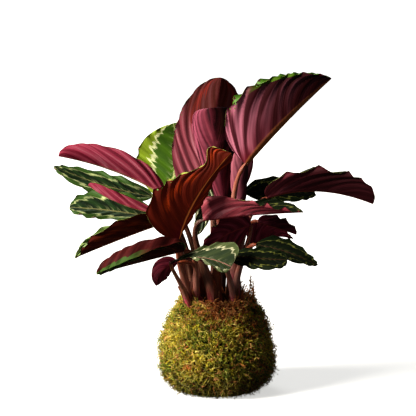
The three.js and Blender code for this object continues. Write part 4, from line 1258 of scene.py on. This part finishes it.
# %% Where the strands grow
def scatter_on_ball(count, seed):
    """Even places on the ball: heights drawn so that each strip gets its share of the area."""
    pick = np.random.default_rng(seed)
    fine = np.linspace(1.5, BALL_TOP, 400)
    radius = moss_radius(fine)
    strip = radius * np.hypot(np.gradient(radius, fine), 1)
    share = np.cumsum(strip) / np.sum(strip)
    height = np.interp(pick.uniform(0, 1, count), share, fine)
    angle = pick.uniform(-np.pi, np.pi, count)
    return angle, height


def outward(angle, height):
    """The direction square to the ball's surface: out from the axis, tipped by the slope of its side."""
    step = 0.5
    rise = (moss_radius(height + step) - moss_radius(height - step)) / (2 * step)
    return unit(np.stack([np.cos(angle), np.sin(angle), -rise], -1))


def moss_kind(angle, height, pick):
    """0 fresh, 1 olive, 2 green, 3 rust: slow waves make patches and chance mixes them. Rust gathers
    at the top in front. On the right there is more rust and olive, and so on the left more fresh
    moss: partly the moss's own colours, partly painted shade on the right and painted light on the
    left, where the light falls."""
    front = np.exp(-((angle + np.pi / 2 - 0.15) / 0.75) ** 2) * smooth_step(height, 84, 102)
    # More olive and rust on the right: partly their own colour, partly painted shade on the side away from
    # the light.
    right = smooth_step(np.cos(angle), 0.2, 0.8)
    slow = np.sin(3 * angle + height / 13 + 1) + np.sin(5 * angle - height / 10)
    spots = smooth_step(np.sin(5 * angle + height / 7) * np.sin(4 * angle - height / 9 + 2), 0.4, 0.8)
    rust = 0.06 + 0.85 * front + 0.25 * spots + 0.2 * right
    green = 0.3 + 0.16 * slow
    olive = 0.26 + 0.2 * right
    draw = pick.uniform(0, 1, len(angle))
    rest = (draw - rust) / np.maximum(1 - rust, 0.01)
    return np.where(draw < rust, 3, np.where(rest < green, 2, np.where(rest < green + olive, 1, 0)))


sample = scatter_on_ball(1000, 0)[1]
print(f"strands grow from {sample.min():.0f} to {sample.max():.0f} mm above the ground")


# %% Grow the moss
STRANDS_PER_SHAPE = 5000
STRAND_LENGTHS = (6.5, 13.0)
WISPS = 0.14
ROOT_LIFT = -0.4
ROOT_SET_BACK = 3.0
GROUND_GAP = 0.15


def strand_field(count, seed):
    """Places, directions and sizes of the strands on the ball's outside.

    A strand's direction is a random one along the surface plus a little of the outward one, and
    its root is set back against the first, just under the surface. A few are wisps, which stand
    up more and are longer. Strands are shorter near the ground.
    """
    pick = np.random.default_rng(seed)
    angle, height = scatter_on_ball(count, seed)
    normal = outward(angle, height)
    flat = pick.normal(0, 1, (count, 3))
    flat = unit(flat - np.sum(flat * normal, -1, keepdims=True) * normal)
    wisp = pick.uniform(0, 1, count) < WISPS
    lift = pick.uniform(0.04, 0.55, (count, 1)) + 0.6 * wisp[:, None]
    up = unit(flat + lift * normal)
    length = pick.uniform(*STRAND_LENGTHS, count) * np.clip(0.5 + height / 24, 0.5, 1) * (1 + 0.25 * wisp)
    roots = on_ball(angle, height, ROOT_LIFT) - flat * ROOT_SET_BACK
    lean = normal * pick.uniform(-1.2, 0.8, (count, 1)) + 0.6 * pick.normal(0, 1, (count, 3))
    return roots, up, lean, length, moss_kind(angle, height, pick)


def grow(name, shape, faces, rows, finish, seed):
    """One piece of strands of one shape and colour, one for each row of places. Its map holds how
    high in its strand a point lies and a number drawn for the strand. Tells its triangles."""
    roots, up, lean, length = rows
    pick = np.random.default_rng(seed)
    width = length * pick.uniform(0.85, 1.15, len(roots))
    points, numbers, tips = place_many(shape, faces, roots, up, lean, length, width)
    points[:, 2] = np.maximum(points[:, 2], GROUND_GAP)
    chance = np.repeat(pick.uniform(0, 1, len(roots)), len(shape))
    piece = make_piece(name, points, numbers, [finish], uv=np.stack([tips, chance], -1))
    return len(numbers)


total = 0
for batch, (shape, faces) in enumerate(STRANDS):
    *places, kinds = strand_field(STRANDS_PER_SHAPE, 21 + batch)
    for kind, (kind_name, finish) in enumerate(SPRIG_FINISHES.items()):
        rows = [part[kinds == kind] for part in places]
        total += grow(f"moss_{kind_name}_{batch}", shape, faces, rows, finish, 100 * batch + kind)
print("moss triangles:", total)

# %% [markdown]
# Six small groups of upright moss stand at the rim, like tiny fir trees: two tall ones on the right
# and four low ones further round. They could be drawn as hairs, but the helpers above make them
# too: the same kind of strand, only straight, longer and with more leaflets.

# %% Upright moss at the rim
# Each group: the place of its middle, its tallest plant, and how many plants it has.
GROUPS = [((29.5, -13, 108), 44, 7), ((36, -10, 104), 38, 7), ((24, -24, 110), 15, 6),
          ((-37, -8, 108), 12, 5), ((8, 34, 110), 14, 7), ((-24, 28, 109), 12, 6)]


def rim_tufts():
    """Upright strands scattered round the middle of each group. In a group the lengths fall evenly
    from the tallest to 0.6 of it, less a little by chance, and each leans a little its own way."""
    pick = np.random.default_rng(5)
    middle = np.array([place for place, tall, plants in GROUPS], float)
    tallest = np.array([tall for place, tall, plants in GROUPS], float)
    which = np.repeat(np.arange(len(GROUPS)), [plants for place, tall, plants in GROUPS])
    count = len(which)
    roots = middle[which] + pick.normal(0, 1, (count, 3)) * [2.0, 3.0, 1.0]
    rank = np.concatenate([np.linspace(1, 0.6, n) for n in np.bincount(which)])
    length = tallest[which] * rank * pick.uniform(0.9, 1.0, count)
    up = np.stack([pick.normal(0.02, 0.09, count), pick.normal(0, 0.09, count), np.ones(count)], -1)
    lean = pick.normal(0, 1, (count, 3))
    shape, faces = strand_shape(steps=7, leaflets=24, curl=0.1, leaflet=0.11, thick=0.03, seed=3)
    return grow("moss_tufts", shape, faces, (roots, up, lean, length), SPRIG_FINISHES["rust"], 8)


print("triangles of upright moss:", rim_tufts())

# %% [markdown]
# ## Binding thread
# The moss is held by thin thread wound round the ball in tilted turns. Each turn is a slanted
# circle pushed out onto the moss. A point's distance from the middle depends on its height, and
# its height on that distance, so the two are worked out by turns until they agree. Strands of moss
# lie over the thread in places. A curve shrunk onto the ball would do as well, but the ball's own
# formula is at hand, and so the thread follows every cushion.

# %% Path of the thread
THREAD_TURNS = 3
THREAD_TILT = np.radians(38)
THREAD_LIFT = 1.9
THREAD_RADIUS = 0.34
THREAD_STEPS = 260
TWISTS = 40


def thread_path(turn):
    """Angles round one turn and its points. A circle is tilted, then turned to its heading, and
    each point's distance from the ball's middle is set to the surface plus THREAD_LIFT at the
    height it has got to, twenty times over. Then it waves a little in and out."""
    angle = np.linspace(0, 2 * np.pi, THREAD_STEPS, endpoint=False)
    heading = turn * np.pi / THREAD_TURNS
    flat_x = np.cos(angle)
    flat_y = np.sin(angle) * np.cos(THREAD_TILT)
    z = np.sin(angle) * np.sin(THREAD_TILT)
    x = flat_x * np.cos(heading) - flat_y * np.sin(heading)
    y = flat_x * np.sin(heading) + flat_y * np.cos(heading)
    around, level = np.arctan2(y, x), np.hypot(x, y)
    reach = np.full(THREAD_STEPS, 62.0)
    for _ in range(20):
        height = BALL_MIDDLE + reach * z
        reach = (moss_radius(height) + cushion(around, height) + THREAD_LIFT) / level
    middle = np.stack([reach * x, reach * y, BALL_MIDDLE + reach * z], -1)
    middle += 0.35 * np.sin(23 * angle)[:, None] * unit(middle - [0, 0, BALL_MIDDLE])
    return angle, middle


for turn in range(THREAD_TURNS):
    path = thread_path(turn)[1]
    length = np.linalg.norm(np.roll(path, -1, 0) - path, axis=1).sum()
    print(f"turn {turn + 1} of the thread is {length:.0f} mm long")


# %% Thread
def thread_turn(turn, sides=6):
    """Points, faces and map of one closed turn of thread: a slightly oval section carried along
    the path and twisted as it goes."""
    angle, middle = thread_path(turn)
    steps = len(angle)
    way = unit(np.roll(middle, -1, 0) - np.roll(middle, 1, 0))
    first = unit(np.cross(way, middle - [0, 0, BALL_MIDDLE]))
    second = np.cross(way, first)
    twist = (angle * TWISTS)[:, None, None]
    turned = np.linspace(0, 2 * np.pi, sides, endpoint=False)[None, :, None] + twist
    radius = THREAD_RADIUS * (1 + 0.25 * np.cos(2 * (turned - twist)))
    points = middle[:, None] + radius * (np.cos(turned) * first[:, None] + np.sin(turned) * second[:, None])
    rows = np.arange(steps)[:, None] * sides
    after = (np.arange(steps)[:, None] + 1) % steps * sides
    here, there = np.arange(sides)[None], (np.arange(sides)[None] + 1) % sides
    faces = np.stack([rows + here, rows + there, after + there, after + here], -1).reshape(-1, 4)
    flat = np.stack(np.broadcast_arrays(angle[:, None] / (2 * np.pi), turned[..., 0] * 0 + 0.5), -1)
    return points.reshape(-1, 3), faces[:, ::-1], flat.reshape(-1, 2)


def thread_finish(name):
    """Olive thread, where fine noise blends a darker and a lighter shade."""
    finish, sheet, body = new_sheet(name, 0.8, Sheen_Weight=0.2)
    fibre = grain(sheet, place_on_plant(sheet), 900, 2)
    colour = blend_colours(sheet, fibre.between(0.35, 0.65), "5a5226", "857a3e")
    sheet.links.new(colour.socket, body.inputs["Base Color"])
    return finish


points, faces, flat = gather([thread_turn(turn) for turn in range(THREAD_TURNS)])
thread = make_piece("thread_turns", points, faces, [thread_finish("thread")], uv=flat)
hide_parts("binding_thread")
print("faces of the thread:", len(thread.data.polygons))

# %% [markdown]
# ## Studio
# The floor is plain and pale, and gives off a little light of its own so that shadows on it stay
# faint. It neither lights the plant nor shows in its gloss. The air is white to the camera and a
# weak even light to the plant, which a light path tells apart.

# %% Floor and air
FLOOR_HALF = 6.0
FLOOR_GLOW = 0.62
AIR_LIGHT = 0.1
WHITE = (1, 1, 1, 1)


def pale_floor():
    """A square floor at height 0, as a stage piece that isn't part of the plant."""
    s = FLOOR_HALF
    floor_mesh = bpy.data.meshes.new("floor")
    floor_mesh.from_pydata([(-s, -s, 0), (s, -s, 0), (s, s, 0), (-s, s, 0)], [], [(0, 1, 2, 3)])
    floor = bpy.data.objects.new("floor", floor_mesh)
    bpy.context.scene.collection.objects.link(floor)
    finish, sheet, body = new_sheet("floor pale", 0.9, Specular_IOR_Level=0.1)
    cloud = grain(sheet, place_on_plant(sheet), 3, 2)
    tint = blend_colours(sheet, cloud, "e6e6e4", "eeeeec")
    sheet.links.new(tint.socket, body.inputs["Base Color"])
    sheet.links.new(tint.socket, body.inputs["Emission Color"])
    body.inputs["Emission Strength"].default_value = FLOOR_GLOW
    floor_mesh.materials.append(finish)
    floor.visible_diffuse = False
    floor.visible_glossy = False
    floor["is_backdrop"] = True


def studio_air():
    """White where the camera looks past the plant, a weak light for all other rays."""
    world = bpy.data.worlds.new("studio air")
    world.use_nodes = True
    sheet = world.node_tree
    air = sheet.nodes["Background"]
    air.inputs["Strength"].default_value = AIR_LIGHT
    air.inputs["Color"].default_value = WHITE
    backdrop = sheet.nodes.new("ShaderNodeBackground")
    backdrop.inputs["Strength"].default_value = 1.0
    backdrop.inputs["Color"].default_value = WHITE
    ray = sheet.nodes.new("ShaderNodeLightPath")
    either = sheet.nodes.new("ShaderNodeMixShader")
    sheet.links.new(ray.outputs["Is Camera Ray"], either.inputs[0])
    sheet.links.new(air.outputs[0], either.inputs[1])
    sheet.links.new(backdrop.outputs[0], either.inputs[2])
    sheet.links.new(either.outputs[0], sheet.nodes["World Output"].inputs["Surface"])
    bpy.context.scene.world = world


pale_floor()
studio_air()
print("floor and air ready")

# %% [markdown]
# A large soft sun stands low on the left in front, as the shading on the plant tells, and a weak
# one behind catches the edges of the rear leaves. The right side stays dark. The camera looks
# slightly down from the front with a long lens, which keeps near and far leaves nearly one size.

# %% Lights and camera
def sun(name, place, strength, softness, colour=(1, 1, 1)):
    """A sun that shines from place towards the plant. softness is how wide it looks, in degrees."""
    data = bpy.data.lights.new(name, "SUN")
    data.energy = strength
    data.angle = np.radians(softness)
    data.color = colour
    light = bpy.data.objects.new(name, data)
    light.rotation_euler = Vector(place).to_track_quat("Z", "Y").to_euler()
    bpy.context.scene.collection.objects.link(light)


def front_camera(target, distance, tilt, lens):
    """A camera at distance from target, tilt degrees above it in front, that looks at it."""
    data = bpy.data.cameras.new("camera")
    data.lens = lens
    data.sensor_width = 36
    data.clip_start = 0.05
    data.clip_end = 50
    camera = bpy.data.objects.new("camera", data)
    tilt = np.radians(tilt)
    camera.location = target - distance * np.array([0, np.cos(tilt), -np.sin(tilt)])
    camera.rotation_euler = Vector(target - np.array(camera.location)).to_track_quat("-Z", "Y").to_euler()
    bpy.context.scene.collection.objects.link(camera)
    bpy.context.scene.camera = camera
    print("camera at", [round(v, 3) for v in camera.location])


sun("key", (-0.84, -0.40, 0.48), strength=7.0, softness=24, colour=(1.0, 0.96, 0.90))
sun("back", (-0.3, 0.9, 0.6), strength=0.7, softness=30)
front_camera(np.array([-0.0108, 0.0, 0.221]), distance=1.6, tilt=7, lens=115.4)
bpy.context.scene.view_settings.view_transform = "Standard"
bpy.context.scene.view_settings.look = "Medium High Contrast"

# %% [markdown]
# ## Sizes
# The box round the dressed plant and the box of its solids are both worked out, and the last line
# prints them.

# %% Sizes and the last line
seen_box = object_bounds()
sizes = {"cad": [[float(v) for v in corner] for corner in cad_box],
         "visual": [[float(v) for v in corner] for corner in seen_box]}
print(sizes)
